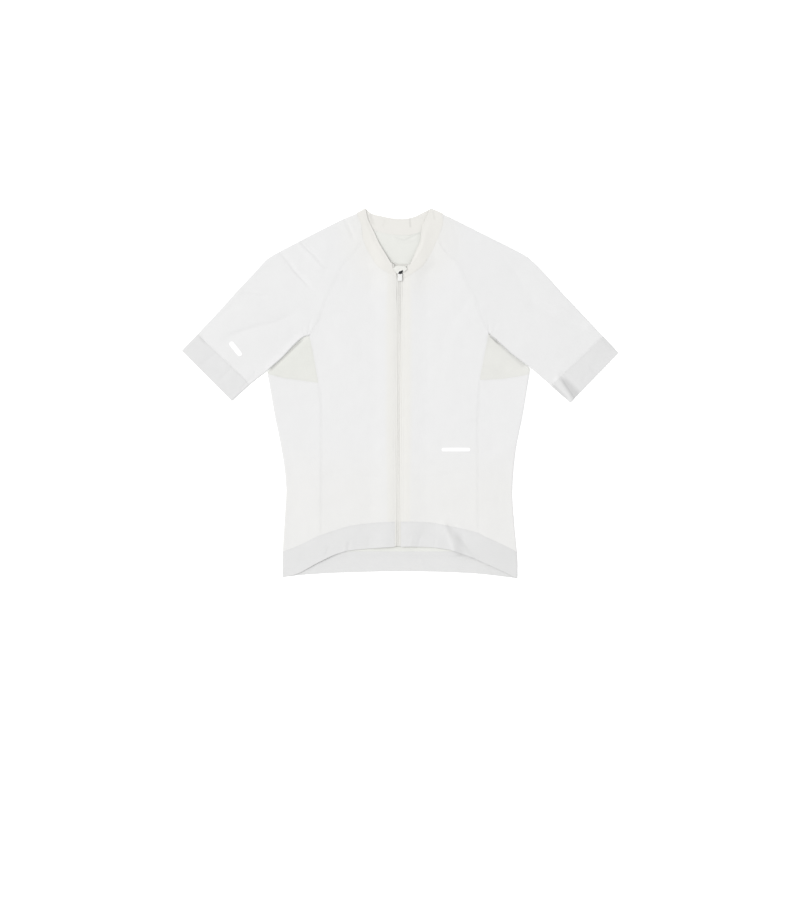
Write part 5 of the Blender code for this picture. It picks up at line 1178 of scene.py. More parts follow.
def cuff(s):
    cell_f, cell_b, cell_j = 1.35, 2.4, 1.4
    ats = spread(40.0, cell_j)
    top_outline, low_outline = along(s["cuff_top"], ats), along(s["cuff_low"], ats)
    top_line, top_out = fold_line(top_outline, (0.0, -1.0))
    low_line, low_out = fold_line(low_outline, (-s["hint"], 1.0))
    nf, nb = np.linspace(0, 1, int(128 / cell_f)), np.linspace(0, 1, int(128 / cell_b))
    front = lay_front(patch(top_line, low_line, straight(top_line[0], low_line[0], nf),
                            straight(top_line[-1], low_line[-1], nf)))
    back = lay_back(patch(low_line, top_line, straight(low_line[0], top_line[0], nb),
                          straight(low_line[-1], top_line[-1], nb)))
    close = np.column_stack([low_line, back_mid(low_line[:, 0], low_line[:, 1])])[None]
    down = np.zeros_like(close)
    down[..., 2] = -1.0
    laid = stack(back, turn(top_line, top_out, False), front, turn(low_line, low_out, True), (close, down))
    laid = edge_move(laid, first=GAP + 2.0 * SEWN_BULGE * T, start=HALF)
    keep("cuff_" + s["side"], seam_roll(laid, start=ROLL), s["elastic"], "cuff_knit", sewn=("first", "last", "start"))


def collar():
    rows = spread(44.0, 1.8)
    a_ns = spread(50.0, 2.0, False, False)
    a_nf = spread(96.0, 2.0, False, True)
    seam_l = chain([NECK_SLEEVE_L, NECK_FRONT_L], [a_ns, a_nf])[::-1]
    seam_r = chain([NECK_SLEEVE_R, NECK_FRONT_R], [a_ns, a_nf])
    edge_l = along(COLLAR_EDGE_L, np.linspace(0, 1, len(seam_l)))[::-1]
    edge_r = along(COLLAR_EDGE_R, np.linspace(0, 1, len(seam_r)))
    y_l, y_r = seam_l[0][1], seam_r[-1][1]
    seam_l[0] = (zip_x(y_l) - FRONT_IN, y_l)
    seam_r[-1] = (zip_x(y_r) + FRONT_IN, y_r)
    b_n = spread(38.0, 2.6, False, False)
    b_m = spread(104.0, 2.6, False, False)
    seam_b = chain([NECK_BACK_L, NECK_BACK_MID, flip(NECK_BACK_R)], [b_n, b_m, b_n])
    edge_b = along(COLLAR_EDGE_BACK, np.linspace(0, 1, len(seam_b)))

    def end_across(a, b, column, sign):
        y = a[1] + (b[1] - a[1]) * rows
        offset = tape_offset(y, column) + (FRONT_IN - TAPE_IN)
        out = np.column_stack([zip_x(y) + sign * offset, y])
        out[0], out[-1] = a, b
        return out

    fold_l = straight(seam_l[-1], edge_l[-1], rows)
    fold_r = straight(seam_r[0], edge_r[0], rows)
    edge_l[0, 0] = zip_x(edge_l[0, 1]) - tape_offset(edge_l[0, 1], 1) - (FRONT_IN - TAPE_IN)
    edge_r[-1, 0] = zip_x(edge_r[-1, 1]) + tape_offset(edge_r[-1, 1], 2) + (FRONT_IN - TAPE_IN)

    def laid_front(grid, from_zip):
        share = np.linspace(0, 1, len(grid))
        share = share if from_zip else 1 - share
        window = smooth01(share / 0.25) * smooth01((1 - share) / 0.35)
        p, n = lay_front(grid)
        p[..., 2] += COLLAR_LIFT * window[:, None] * rows[None, :] ** 1.5
        p[..., 2] -= COLLAR_DROOP * window[:, None] * smooth01((rows[None, :] - 0.62) / 0.38)
        return p, n

    l_part = laid_front(patch(end_across(seam_l[0], edge_l[0], 1, -1), fold_l, seam_l, edge_l), True)
    r_part = laid_front(patch(fold_r, end_across(seam_r[-1], edge_r[-1], 2, 1), seam_r, edge_r), False)
    back = lay_back(patch(fold_l, fold_r, seam_b, edge_b))

    def outs(line, sign):
        d = line[-1] - line[0]
        d = d / np.linalg.norm(d)
        return np.tile(np.array([-d[1] * sign, d[0] * sign]), (len(line), 1))

    laid = stack(l_part, turn(fold_l, outs(fold_l, 1.0), True), back,
                 turn(fold_r, outs(fold_r, -1.0), False), r_part)
    laid = edge_move(laid, start=HALF)
    keep("collar", seam_roll(laid, start=ROLL), COLLAR, "collar_knit", sewn=("start",))


def hem_band():
    rows = spread(46.0, 2.0)
    a_s, a_f = spread(76.0, 2.0, False, False), spread(136.0, 2.0, False, True)
    seam_l = chain([HEM_SIDE_L, HEM_FRONT_L], [a_s, a_f])[::-1]
    seam_r = chain([HEM_SIDE_R, HEM_FRONT_R], [a_s, a_f])
    edge_l = chain([EDGE_SIDE_L, EDGE_FRONT_L], [a_s, a_f])[::-1]
    edge_r = chain([EDGE_SIDE_R, EDGE_FRONT_R], [a_s, a_f])
    for line, sign, end in ((seam_l, -1, 0), (edge_l, -1, 0), (seam_r, 1, -1), (edge_r, 1, -1)):
        y = line[end][1]
        line[end] = (zip_x(y) + sign * FRONT_IN, y)
    line_l, out_l = fold_line(along(BAND_SIDE_L, rows), (1.0, 0.0))
    line_r, out_r = fold_line(along(BAND_SIDE_R, rows), (-1.0, 0.0))
    seam_l[-1], edge_l[-1] = line_l[0], line_l[-1]
    seam_r[0], edge_r[0] = line_r[0], line_r[-1]

    def zip_side(a, b, sign):
        y = a[1] + (b[1] - a[1]) * rows
        return np.column_stack([zip_x(y) + sign * FRONT_IN, y])

    l_part = lay_front(patch(zip_side(seam_l[0], edge_l[0], -1), line_l, seam_l, edge_l))
    r_part = lay_front(patch(line_r, zip_side(seam_r[-1], edge_r[-1], 1), seam_r, edge_r))
    at = np.linspace(0, 1, 150)
    seam_b = straight(line_l[0], line_r[0], at)
    seam_b[1:-1, 1] = -280.0
    edge_b = along(EDGE_BACK, at)
    edge_b[0], edge_b[-1] = line_l[-1], line_r[-1]
    back = lay_back(patch(line_l, line_r, seam_b, edge_b))
    laid = stack(l_part, turn(line_l, out_l, True), back, turn(line_r, out_r, False), r_part)
    laid = edge_move(laid, start=HALF)
    laid = seam_roll(laid, start=ROLL)
    laid, wall = zip_edge_thin(laid, first=True, last=True)
    keep("hem_band", laid, BAND, "gripper", wall=wall, sewn=("start",))


def pocket():
    at = spread(2 * POCKET_HALF, 2.9)
    rows = spread(134.6, 2.9)
    x = -POCKET_HALF + 2 * POCKET_HALF * at
    top = POCKET_TOP - 3.0 * (1 - (x / POCKET_HALF) ** 2)
    y = POCKET_BOTTOM + (top - POCKET_BOTTOM)[:, None] * rows[None, :]
    grid = np.dstack([np.repeat(x[:, None], len(rows), 1), y])
    z = np.full(y.shape, 0.52)
    for division in (-46.0, 46.0):                      # sewn down between the three pockets
        z += 0.16 * np.exp(-((grid[..., 0] - division) / 1.1) ** 2)
    z += 0.10 * np.maximum(0.0, waves(grid[..., 0], grid[..., 1], 2.0)) / 0.2
    edge = (top[:, None] - y)
    z += 0.14 * np.exp(-((edge - 9.5) / 0.8) ** 2)     # below the elastic at the mouth
    p = np.dstack([grid, z])
    n = np.zeros_like(p)
    n[..., 2] = -1.0
    keep("pocket", (p, n), POCKET, "knit")


for s in (left, right):
    front_panel(s)
    side_panel(s)
    gusset(s)
    sleeve(s)
    cuff(s)
back_panel()
collar()
hem_band()
pocket()


# ------------------------------------------------------------- the zip
def level(y):
    return under_top(zip_x(y), y)


def tape_height(y):
    return level(y) + 2.1 + slider_rise(y)


def strip(name, ys, edges, height, material, slot, cell=1.4, wall=T, rise=None, at=None, lift=None, heave=None):
    a, b = edges(ys)
    if at is None:
        count = max(4, int(round(float(np.max(np.abs(b - a))) / cell)))
        at = np.linspace(0, 1, count + 1)
    count = len(at) - 1
    x = a[None, :] + (b - a)[None, :] * at[:, None]
    y = np.repeat(ys[None, :], count + 1, 0)
    z = np.repeat(height(ys)[None, :], count + 1, 0)
    if rise is not None:
        y = y + rise(x, y)
    if heave is not None:
        z = z + heave(x, y)
    if lift is not None:
        z = z + np.asarray(lift)[:, None] * (1.0 - smooth01((ys - 192.0) / 11.0))[None, :]
    p = np.dstack([x, y, z])
    n = np.zeros_like(p)
    n[..., 2] = 1.0
    keep(name, (p, n), material, slot, wall=wall)


run = np.linspace(-270.6, 205.0, 238)
top = np.linspace(205.0, 228.0, 20)[1:]
tape_ys = np.concatenate([run, top])
# the visible inner part of each tape lies level with the front's edge and
# dips beneath it
TAPE_AT = np.array([0.0, 1.3, 2.2, 2.62, 2.96, 3.35, 5.4, 7.5, 9.7]) / TAPE_WIDTH
TAPE_LIFT = [0.40, 0.40, 0.40, 0.37, 0.10, 0.02, 0.0, 0.0, 0.0]
strip("zip_tape_l", tape_ys, lambda y: (zip_x(y) - tape_offset(y, 1), zip_x(y) - tape_offset(y, 1) - TAPE_WIDTH),
      tape_height, TAPE, "tape", at=TAPE_AT, lift=TAPE_LIFT)
strip("zip_tape_r", tape_ys, lambda y: (zip_x(y) + tape_offset(y, 2), zip_x(y) + tape_offset(y, 2) + TAPE_WIDTH),
      tape_height, TAPE, "tape", at=TAPE_AT, lift=TAPE_LIFT)


def guard_edges(y):
    open_l = np.maximum(0.0, tape_offset(y, 1) - TAPE_IN)
    open_r = np.maximum(0.0, tape_offset(y, 2) - TAPE_IN)
    return zip_x(y) - 11.0 - 0.75 * open_l, zip_x(y) + 11.0 + 0.75 * open_r


def guard_heave(x, y):
    """Beside the slider the guard stands up to the opening tapes."""
    return (1.5 * smooth01((np.abs(x - 0.2) - 4.4) / 2.2) * smooth01((y - 206.0) / 6.0)
            * smooth01((221.0 - y) / 4.0))


guard_ys = np.concatenate([np.linspace(-268.6, 205.0, 160), np.linspace(205.0, 227.4, 16)[1:]])
strip("zip_guard", guard_ys, guard_edges, lambda y: level(y) + 0.34 + 0.5, GUARD, "knit", cell=1.6, heave=guard_heave,
      rise=lambda x, y: 3.2 * smooth01((-x - 3.0) / 10.0) * smooth01((y - 214.0) / 13.4)
      + 0.9 * smooth01((y - 214.0) / 13.4))

# the flap folded over the head of the zip:  x, y along its free edge
GARAGE_EDGE = [(-12.0, 219.0), (-9.0, 215.8), (-7.0, 213.6), (-5.2, 211.9), (-4.0, 211.3), (-3.3, 211.7),
               (-2.9, 213.4), (-2.2, 214.9), (-1.2, 215.7), (1.4, 216.2), (2.8, 217.3), (4.2, 218.0),
               (5.0, 217.4), (5.6, 215.4), (6.6, 214.2), (8.0, 214.6), (9.6, 216.4), (12.4, 219.2)]
GARAGE_TOP, GARAGE_REAR = 223.4, 221.4


def zip_garage():
    rear, front, over = 3.2, 6.1, 7.25
    radius, middle = 0.5 * (front - rear), 0.5 * (front + rear)
    x = np.linspace(-12.0, 12.4, 50)
    low = np.interp(x, [e[0] for e in GARAGE_EDGE], [e[1] for e in GARAGE_EDGE])
    for _ in range(2):
        low[1:-1] = 0.25 * low[:-2] + 0.5 * low[1:-1] + 0.25 * low[2:]
    at_top = np.where(x < 0, 0.75, 0.86) * x
    droop = -0.9 * (at_top / 10.0) ** 2                   # the fold sinks towards its ends
    rows_p, rows_n = [], []

    def row(px, py, pz, n):
        rows_p.append(np.column_stack([px, py, pz]))
        rows_n.append(np.tile(n, (len(px), 1)))

    one = np.ones(len(x))
    for y in np.linspace(GARAGE_REAR, GARAGE_TOP, 4):
        row(at_top, y + droop, one * rear, (0.0, 0.0, -1.0))
    for k in range(1, 9):
        phi = math.pi * (k / 9 - 0.5)
        row(at_top, droop + GARAGE_TOP + radius * math.cos(phi), one * (middle + radius * math.sin(phi)),
            (0.0, math.cos(phi), math.sin(phi)))
    for share in np.linspace(0.0, 1.0, 18):
        y = GARAGE_TOP + (low - GARAGE_TOP) * share + droop * (1.0 - share)
        px = at_top + (x - at_top) * smooth01(share / 0.6)
        z = front + (over - front) * smooth01((GARAGE_TOP - y) / 4.5)
        z = z - 0.28 * np.exp(-((low - y) / 1.9 + 1.6) ** 2)           # a dip above the stitched edge
        row(px, y, z, (0.0, 0.0, 1.0))
    p = np.array(rows_p).transpose(1, 0, 2)
    n = np.array(rows_n, float).transpose(1, 0, 2)
    keep("zip_garage", (p, n), GARAGE, "collar_knit")
    # a fine bound edge, turned under at its ends
    edge = (p[:, -1] + np.array([0.0, 0.0, 0.05]))[(x > -8.2) & (x < 4.6)]
    edge[:, 2] -= 0.45 * (1.0 - smooth01(np.minimum(edge[:, 0] - edge[0, 0], edge[-1, 0] - edge[:, 0]) / 1.4))
    t = np.gradient(edge, axis=0)
    t /= np.linalg.norm(t, axis=1)[:, None]
    side = np.column_stack([-t[:, 1], t[:, 0], np.zeros(len(t))])
    angles = np.linspace(0, 2 * math.pi, 10, endpoint=False)
    ring = (edge[:, None] + 0.52 * np.cos(angles)[None, :, None] * side[:, None]
            + 0.52 * np.sin(angles)[None, :, None] * np.array([0.0, 0.0, 1.0]))
    verts = ring.reshape(-1, 3)
    index = np.arange(len(verts)).reshape(len(edge), 10)
    nxt = np.roll(index, -1, axis=1)
    faces = np.stack([index[:-1], index[1:], nxt[1:], nxt[:-1]], -1).reshape(-1, 4).tolist()
    faces.append(index[0].tolist())
    faces.append(index[-1][::-1].tolist())
    obj = mesh_object("garage_binding", verts, faces, BINDING)
    bm = bmesh.new()
    bm.from_mesh(obj.data)
    bmesh.ops.recalc_face_normals(bm, faces=bm.faces)
    bm.to_mesh(obj.data)
    bm.free()
    finish_piece(obj)


zip_garage()


def zip_chain():
    """Closed coil seen from its flat side: two woven cords that meet in a
    hairline, with the coil's turns between and under them."""
    pitch = 1.35
    ys = np.arange(-270.4, 212.4, pitch / 4)
    verts, faces = [], []
    base = 0
    sections = 8
    for side in (-1, 1):
        phase = 0.0 if side < 0 else math.pi
        swell = 1.0 + 0.06 * np.sin(2 * math.pi * ys / pitch + phase)
        angles = np.linspace(0, 2 * math.pi, sections, endpoint=False)
        cx = zip_x(ys) + side * 1.03
        cz = tape_height(ys) + 0.12 + 0.34 * (1.0 - smooth01((ys - 192.0) / 11.0))
        ring_x = cx[:, None] + 0.90 * swell[:, None] * np.cos(angles)[None, :]
        ring_z = cz[:, None] + 0.58 * swell[:, None] * np.sin(angles)[None, :]
        ring_y = np.repeat(ys[:, None], sections, 1)
        verts.append(np.dstack([ring_x, ring_y, ring_z]).reshape(-1, 3))
        index = base + np.arange(len(ys) * sections).reshape(len(ys), sections)
        nxt = np.roll(index, -1, axis=1)
        faces += np.stack([index[:-1], nxt[:-1], nxt[1:], index[1:]], -1).reshape(-1, 4).tolist()
        faces.append(index[0][::-1].tolist())
        faces.append(index[-1].tolist())
        base += len(ys) * sections
    # turns of the coil, across the middle
    centres = np.arange(-269.8, 211.8, pitch / 2)
    angles = np.linspace(0, 2 * math.pi, 5, endpoint=False)
    for y in centres:
        x0 = float(zip_x(y))
        z0 = float(tape_height(y)) - 0.06 + 0.34 * (1.0 - float(smooth01((y - 192.0) / 11.0)))
        ring = np.column_stack([np.zeros(5), y + 0.26 * np.cos(angles), z0 + 0.30 * np.sin(angles)])
        for dx in (-0.62, 0.62):
            verts.append(ring + np.array([x0 + dx, 0, 0]))
        for k in range(5):
            n = (k + 1) % 5
            faces.append([base + k, base + n, base + 5 + n, base + 5 + k])
        faces.append([base + k for k in range(4, -1, -1)])
        faces.append([base + 5 + k for k in range(5)])
        base += 10
    obj = mesh_object("zip_coil", np.vstack(verts), faces, COIL, sharp=60)
    bm = bmesh.new()
    bm.from_mesh(obj.data)
    bmesh.ops.recalc_face_normals(bm, faces=bm.faces)
    bm.to_mesh(obj.data)
    bm.free()
    return finish_piece(obj, "zip_chain")


zip_chain()


# hard parts
AXIS_Y, AXIS_Z = 212.9, 7.29
X0 = 0.2
LOW_PLATE, HIGH_PLATE = 2.6, 5.6       # undersides of the slider's two plates


def plate_outline(steps=7):
    """Slider plate: broad shoulders at the top, narrower at the foot."""
    half = [(0.0, -5.55), (2.3, -5.5), (3.35, -5.0), (3.72, -3.9), (3.8, -1.2), (3.86, 1.4),
            (3.8, 3.7), (3.3, 5.1), (2.2, 6.0), (0.95, 6.35), (0.0, 6.4)]
    return half + [(-x, y) for x, y in half[-2:0:-1]]


def extruded(bm, ring, z0, z1):
    low = [bm.verts.new((x, y, z0)) for x, y in ring]
    high = [bm.verts.new((x, y, z1)) for x, y in ring]
    bm.faces.new(low[::-1])
    bm.faces.new(high)
    count = len(ring)
    for k in range(count):
        n = (k + 1) % count
        bm.faces.new((low[k], low[n], high[n], high[k]))


def bmesh_object(name, bm, material, bevel=0.0, segments=2, sharp=40.0):
    bmesh.ops.recalc_face_normals(bm, faces=bm.faces)
    for v in bm.verts:
        v.co *= MM
    mesh = bpy.data.meshes.new(name)
    bm.to_mesh(mesh)
    bm.free()
    made_obj = bpy.data.objects.new(name, mesh)
    scene.collection.objects.link(made_obj)
    if bevel:
        mod = made_obj.modifiers.new("edges", "BEVEL")
        mod.width = bevel * MM
        mod.segments = segments
        mod.limit_method = "ANGLE"
        mod.angle_limit = math.radians(35)
        bpy.context.view_layer.update()
        mesh = bpy.data.meshes.new_from_object(made_obj.evaluated_get(bpy.context.evaluated_depsgraph_get()))
        made_obj.modifiers.clear()
        made_obj.data = mesh
    mesh.shade_smooth()
    mesh.set_sharp_from_angle(angle=math.radians(sharp))
    mesh.materials.clear()
    mesh.materials.append(material)
    return made_obj


def box(bm, low, high):
    ring = [(low[0], low[1]), (high[0], low[1]), (high[0], high[1]), (low[0], high[1])]
    extruded(bm, ring, low[2], high[2])


def slider():
    y0 = SLIDER_Y + 0.35
    bm = bmesh.new()
    ring = [(X0 + x, y0 + y) for x, y in plate_outline()]
    extruded(bm, ring, HIGH_PLATE, HIGH_PLATE + 0.8)
    extruded(bm, ring, LOW_PLATE, LOW_PLATE + 0.8)
    box(bm, (X0 - 0.95, 213.3, LOW_PLATE + 0.5), (X0 + 0.95, 217.0, HIGH_PLATE + 0.4))
    # rails that hold the tapes down
    for sign in (-1, 1):
        a, b = X0 + sign * 3.15, X0 + sign * 3.75
        box(bm, (min(a, b), 206.6, HIGH_PLATE - 0.55), (max(a, b), 214.0, HIGH_PLATE + 0.3))
    body = bmesh_object("slider_body", bm, DARK, bevel=0.22, segments=3)
    # bridge: an arch over the bar of the pull tab
    bm = bmesh.new()
    top_z = 8.88 - 0.36
    line = []
    for k in range(13):
        a = math.pi * k / 12
        line.append((AXIS_Y - 2.04 * math.cos(a), HIGH_PLATE + 0.6 + (top_z - HIGH_PLATE - 0.6) * math.sin(a) ** 0.55))
    rings = []
    for k, (y, z) in enumerate(line):
        ya, za = line[max(0, k - 1)]
        yb, zb = line[min(12, k + 1)]
        length = math.hypot(yb - ya, zb - za)
        ny, nz = -(zb - za) / length, (yb - ya) / length
        ring = []
        for dx, dn in ((-0.78, -0.34), (0.78, -0.34), (0.78, 0.34), (-0.78, 0.34)):
            ring.append(bm.verts.new((X0 + dx, y + ny * dn, z + nz * dn)))
        rings.append(ring)
    for a, b in zip(rings, rings[1:]):
        for k in range(4):
            n = (k + 1) % 4
            bm.faces.new((a[k], a[n], b[n], b[k]))
    bm.faces.new(rings[0][::-1])
    bm.faces.new(rings[-1])
    arch = bmesh_object("slider_bridge", bm, DARK, bevel=0.16, segments=2)
    arch.parent = body
    finish_piece(body, "zip_slider")
    return body


def pull_tab():
    """White moulded grip on a small dark link that hangs from the bridge."""
    half, length, thick = 4.0, 14.7, 1.1
    corner = 1.9
    bm = bmesh.new()
    ring = []
    for k in range(8):
        a = math.radians(-90 * k / 7)
        ring.append((half - corner + corner * math.cos(a), -length + corner + corner * math.sin(a)))
    for k in range(8):
        a = math.radians(-90 - 90 * k / 7)
        ring.append((-half + corner + corner * math.cos(a), -length + corner + corner * math.sin(a)))
    ring += [(-half + 0.15, -6.4), (-half, -2.9), (-half + 0.5, -2.1), (-1.5, -2.0), (-1.3, -2.9), (1.3, -2.9),
             (1.5, -2.0), (half - 0.5, -2.1), (half, -2.9), (half - 0.15, -6.4)]
    low = [bm.verts.new((x, y, -0.5 * thick)) for x, y in ring]
    high = [bm.verts.new((x, y, 0.5 * thick)) for x, y in ring]
    bottom = bm.faces.new(low[::-1])
    roof = bm.faces.new(high)
    for k in range(len(ring)):
        n = (k + 1) % len(ring)
        bm.faces.new((low[k], low[n], high[n], high[k]))
    bmesh.ops.triangulate(bm, faces=[bottom, roof])
    for v in bm.verts:
        v.co += Vector((X0, AXIS_Y, AXIS_Z))
    tab = bmesh_object("pull_tab", bm, TAB, bevel=0.28, segments=3, sharp=50)
    # dark link with its round bar at the hinge
    bm = bmesh.new()
    neck, slot = 2.3, 1.28
    ring = [(-neck, -0.1), (-slot, -0.1), (-slot, -3.25), (slot, -3.25), (slot, -0.1), (neck, -0.1),
            (neck, -3.25), (neck, -4.6), (-neck, -4.6), (-neck, -3.25)]
    low = [bm.verts.new((x, y, -0.34)) for x, y in ring]
    high = [bm.verts.new((x, y, 0.34)) for x, y in ring]
    for corners in ((0, 1, 2, 9), (4, 5, 6, 3), (9, 2, 3, 6, 7, 8)):      # two arms and the cross piece
        bm.faces.new([low[k] for k in reversed(corners)])
        bm.faces.new([high[k] for k in corners])
    for k in range(len(ring)):
        n = (k + 1) % len(ring)
        bm.faces.new((low[k], low[n], high[n], high[k]))
    for v in bm.verts:
        v.co += Vector((X0, AXIS_Y, AXIS_Z))
    link = bmesh_object("pull_link", bm, DARK, bevel=0.14, segments=2)
    bm = bmesh.new()
    bmesh.ops.create_cone(bm, cap_ends=True, segments=20, radius1=0.53, radius2=0.53, depth=4.6)
    for v in bm.verts:
        v.co = Vector((v.co.z + X0, v.co.y + AXIS_Y, v.co.x + AXIS_Z))
    bar = bmesh_object("pull_bar", bm, DARK, bevel=0.12, segments=2)
    # a shallow raised rim and a finger dip on each face of the grip
    bm = bmesh.new()
    for face in (-1, 1):
        z = 0.5 * thick * face
        outer, inner = [], []
        for k in range(32):
            a = 2 * math.pi * k / 32
            cx, cy = math.cos(a), math.sin(a)
            px = math.copysign(abs(cx) ** 0.55, cx)
            py = math.copysign(abs(cy) ** 0.55, cy)
            outer.append((X0 + 2.9 * px, AXIS_Y - 8.9 + 4.2 * py))
            inner.append((X0 + 2.25 * px, AXIS_Y - 8.9 + 3.55 * py))
        top = AXIS_Z + z + face * 0.12
        base = AXIS_Z + z - face * 0.2
        loops = [[bm.verts.new((x, y, h)) for x, y in ring_xy] for ring_xy, h in
                 ((outer, base), (outer, top), (inner, top), (inner, base))]
        for a_loop, b_loop in zip(loops, loops[1:] + loops[:1]):
            for k in range(32):
                n = (k + 1) % 32
                bm.faces.new((a_loop[k], a_loop[n], b_loop[n], b_loop[k]))
    rim = bmesh_object("pull_rim", bm, TAB, bevel=0.05, segments=2, sharp=60)
    for extra in (link, bar, rim):
        extra.parent = tab
    finish_piece(tab, "zip_pull", body="pull")
    return tab


slider()
pull_tab()


# ------------------------------------------------------------- stitching
def stitches(name, lines, pitch=3.0, long=2.3, radius=0.17, material=None):
    """Thread laid on the cloth in separate stitches.  lines holds pairs of
    points and outward directions, in mm."""
    centres, tangents, normals = [], [], []
    for p, n in lines:
        step = np.linalg.norm(np.diff(p, axis=0), axis=1)
        total = np.concatenate([[0.0], np.cumsum(step)])
        if total[-1] < 2 * pitch:
            continue
        at = np.arange(pitch * 0.6, total[-1] - pitch * 0.4, pitch)
        c = np.stack([np.interp(at, total, p[:, k]) for k in range(3)], 1)
        e = np.stack([np.interp(at + 0.3, total, p[:, k]) for k in range(3)], 1)
        m = np.stack([np.interp(at, total, n[:, k]) for k in range(3)], 1)
        centres.append(c)
        tangents.append(e - c)
        normals.append(m)
    c, t, n = np.vstack(centres), np.vstack(tangents), np.vstack(normals)
    c[:, 2] = np.maximum(c[:, 2], radius + 0.08)       # nothing below the surface it lies on
    t /= np.linalg.norm(t, axis=1)[:, None]
    n /= np.linalg.norm(n, axis=1)[:, None]
    n -= t * (n * t).sum(1)[:, None]
    s = np.cross(n, t)
    count = len(c)
    verts = np.zeros((count, 4, 4, 3))
    for r, (along_t, size, up) in enumerate(((-0.5, 0.35, -0.10), (-0.24, 1.0, 0.06), (0.24, 1.0, 0.06), (0.5, 0.35, -0.10))):
        for k, (a, b) in enumerate(((1, 0), (0, 1), (-1, 0), (0, -1))):
            verts[:, r, k] = c + t * along_t * long + n * (up + b * size * radius) + s * a * size * radius * 1.15
    verts = verts.reshape(-1, 3)
    verts[:, 2] = np.maximum(verts[:, 2], 0.03)
    faces = []
    for r in range(3):
        for k in range(4):
            m = (k + 1) % 4
            faces.append([r * 4 + k, r * 4 + m, r * 4 + 4 + m, r * 4 + 4 + k])
    faces.append([3, 2, 1, 0])
    faces.append([12, 13, 14, 15])
    faces = np.array(faces)
    all_faces = (faces[None] + (np.arange(count) * 16)[:, None, None]).reshape(-1, 4)
    # outward check on the first stitch
    tri = verts[faces[:, [0, 1, 2]]] - c[0]
    if (tri[:, 0] * np.cross(tri[:, 1], tri[:, 2])).sum() < 0:
        all_faces = all_faces[:, ::-1]
    obj = mesh_object(name, verts, all_faces, material or THREAD)
    return finish_piece(obj)


def plan_row(points, offset, layer="front", start=2.5, end=2.5, count=160):
    """A row of thread beside a seam: the seam's plan curve moved sideways."""
    line = along(points, np.linspace(0, 1, count))
    g = np.gradient(line, axis=0)
    g /= np.linalg.norm(g, axis=1)[:, None]
    line = line + np.column_stack([-g[:, 1], g[:, 0]]) * offset
    s = shares(line) * long_of(points)
    line = line[(s > start) & (s < s[-1] - end)]
    x, y = line[:, 0], line[:, 1]
    if layer == "front":
        z, up = front_mid(x, y) + 0.5 * T + 0.02, 1.0
    else:
        z, up = back_mid(x, y) - 0.5 * T - 0.02, -1.0
    n = np.zeros((len(line), 3))
    n[:, 2] = up
    return np.column_stack([line, z]), n


def grid_row(name, row, axis="j", side=1.0):
    p, n = grids[name]
    q, m = (p[:, row], n[:, row]) if axis == "j" else (p[row], n[row])
    return q + m * (0.5 * T + 0.02) * side, m * side


rows = []
for s in (left, right):
    both = (1.75, -1.75)
    stitches("thread_raglan_" + s["side"],
             [plan_row(s["raglan_f"], o) for o in both] + [plan_row(s["raglan_b"], o, "back") for o in both])
    stitches("thread_side_" + s["side"],
             [plan_row(s["seam_f"], o) for o in both] + [plan_row(s["seam_b"], o, "back") for o in both]
             + [plan_row(s["gusset_in"], o) for o in both] + [plan_row(s["gusset_in"], o, "back") for o in both]
             + [plan_row(s["gusset_low"], o) for o in both] + [plan_row(s["gusset_low"], o, "back") for o in both])
    stitches("thread_cuff_" + s["side"], [grid_row("cuff_" + s["side"], 3), grid_row("sleeve_" + s["side"], -4)])
stitches("thread_neck", [grid_row("collar", 3)])
stitches("thread_hem", [grid_row("hem_band", 3)])
zip_rows = []
for sign in (-1, 1):
    ys = np.linspace(-268.0, 198.0, 240)
    xs = zip_x(ys) + sign * (FRONT_IN + 3.6)
    thin = (T - ZIP_EDGE_WALL) * (1.0 - smooth01(3.6 / ZIP_EDGE_REACH))
    zip_rows.append((np.column_stack([xs, ys, front_mid(xs, ys) + 0.5 * T + 0.02 - thin]),
                     np.tile([0.0, 0.0, 1.0], (len(ys), 1))))
stitches("thread_zip", zip_rows, pitch=2.8, long=2.1)
pocket_rows = []
for x in (-46.0, 46.0, -POCKET_HALF + 2.2, POCKET_HALF - 2.2):
    ys = np.linspace(-278.0, -148.0, 90)
    pocket_rows.append((np.column_stack([np.full(90, x), ys, np.full(90, 0.16)]), np.tile([0.0, 0.0, -1.0], (90, 1))))
for drop in (9.5,):
    xs = np.linspace(-133.0, 133.0, 120)
    ys = POCKET_TOP - 3.0 * (1 - (xs / POCKET_HALF) ** 2) - drop
    pocket_rows.append((np.column_stack([xs, ys, np.full(120, 0.22)]), np.tile([0.0, 0.0, -1.0], (120, 1))))
stitches("thread_pocket", pocket_rows)


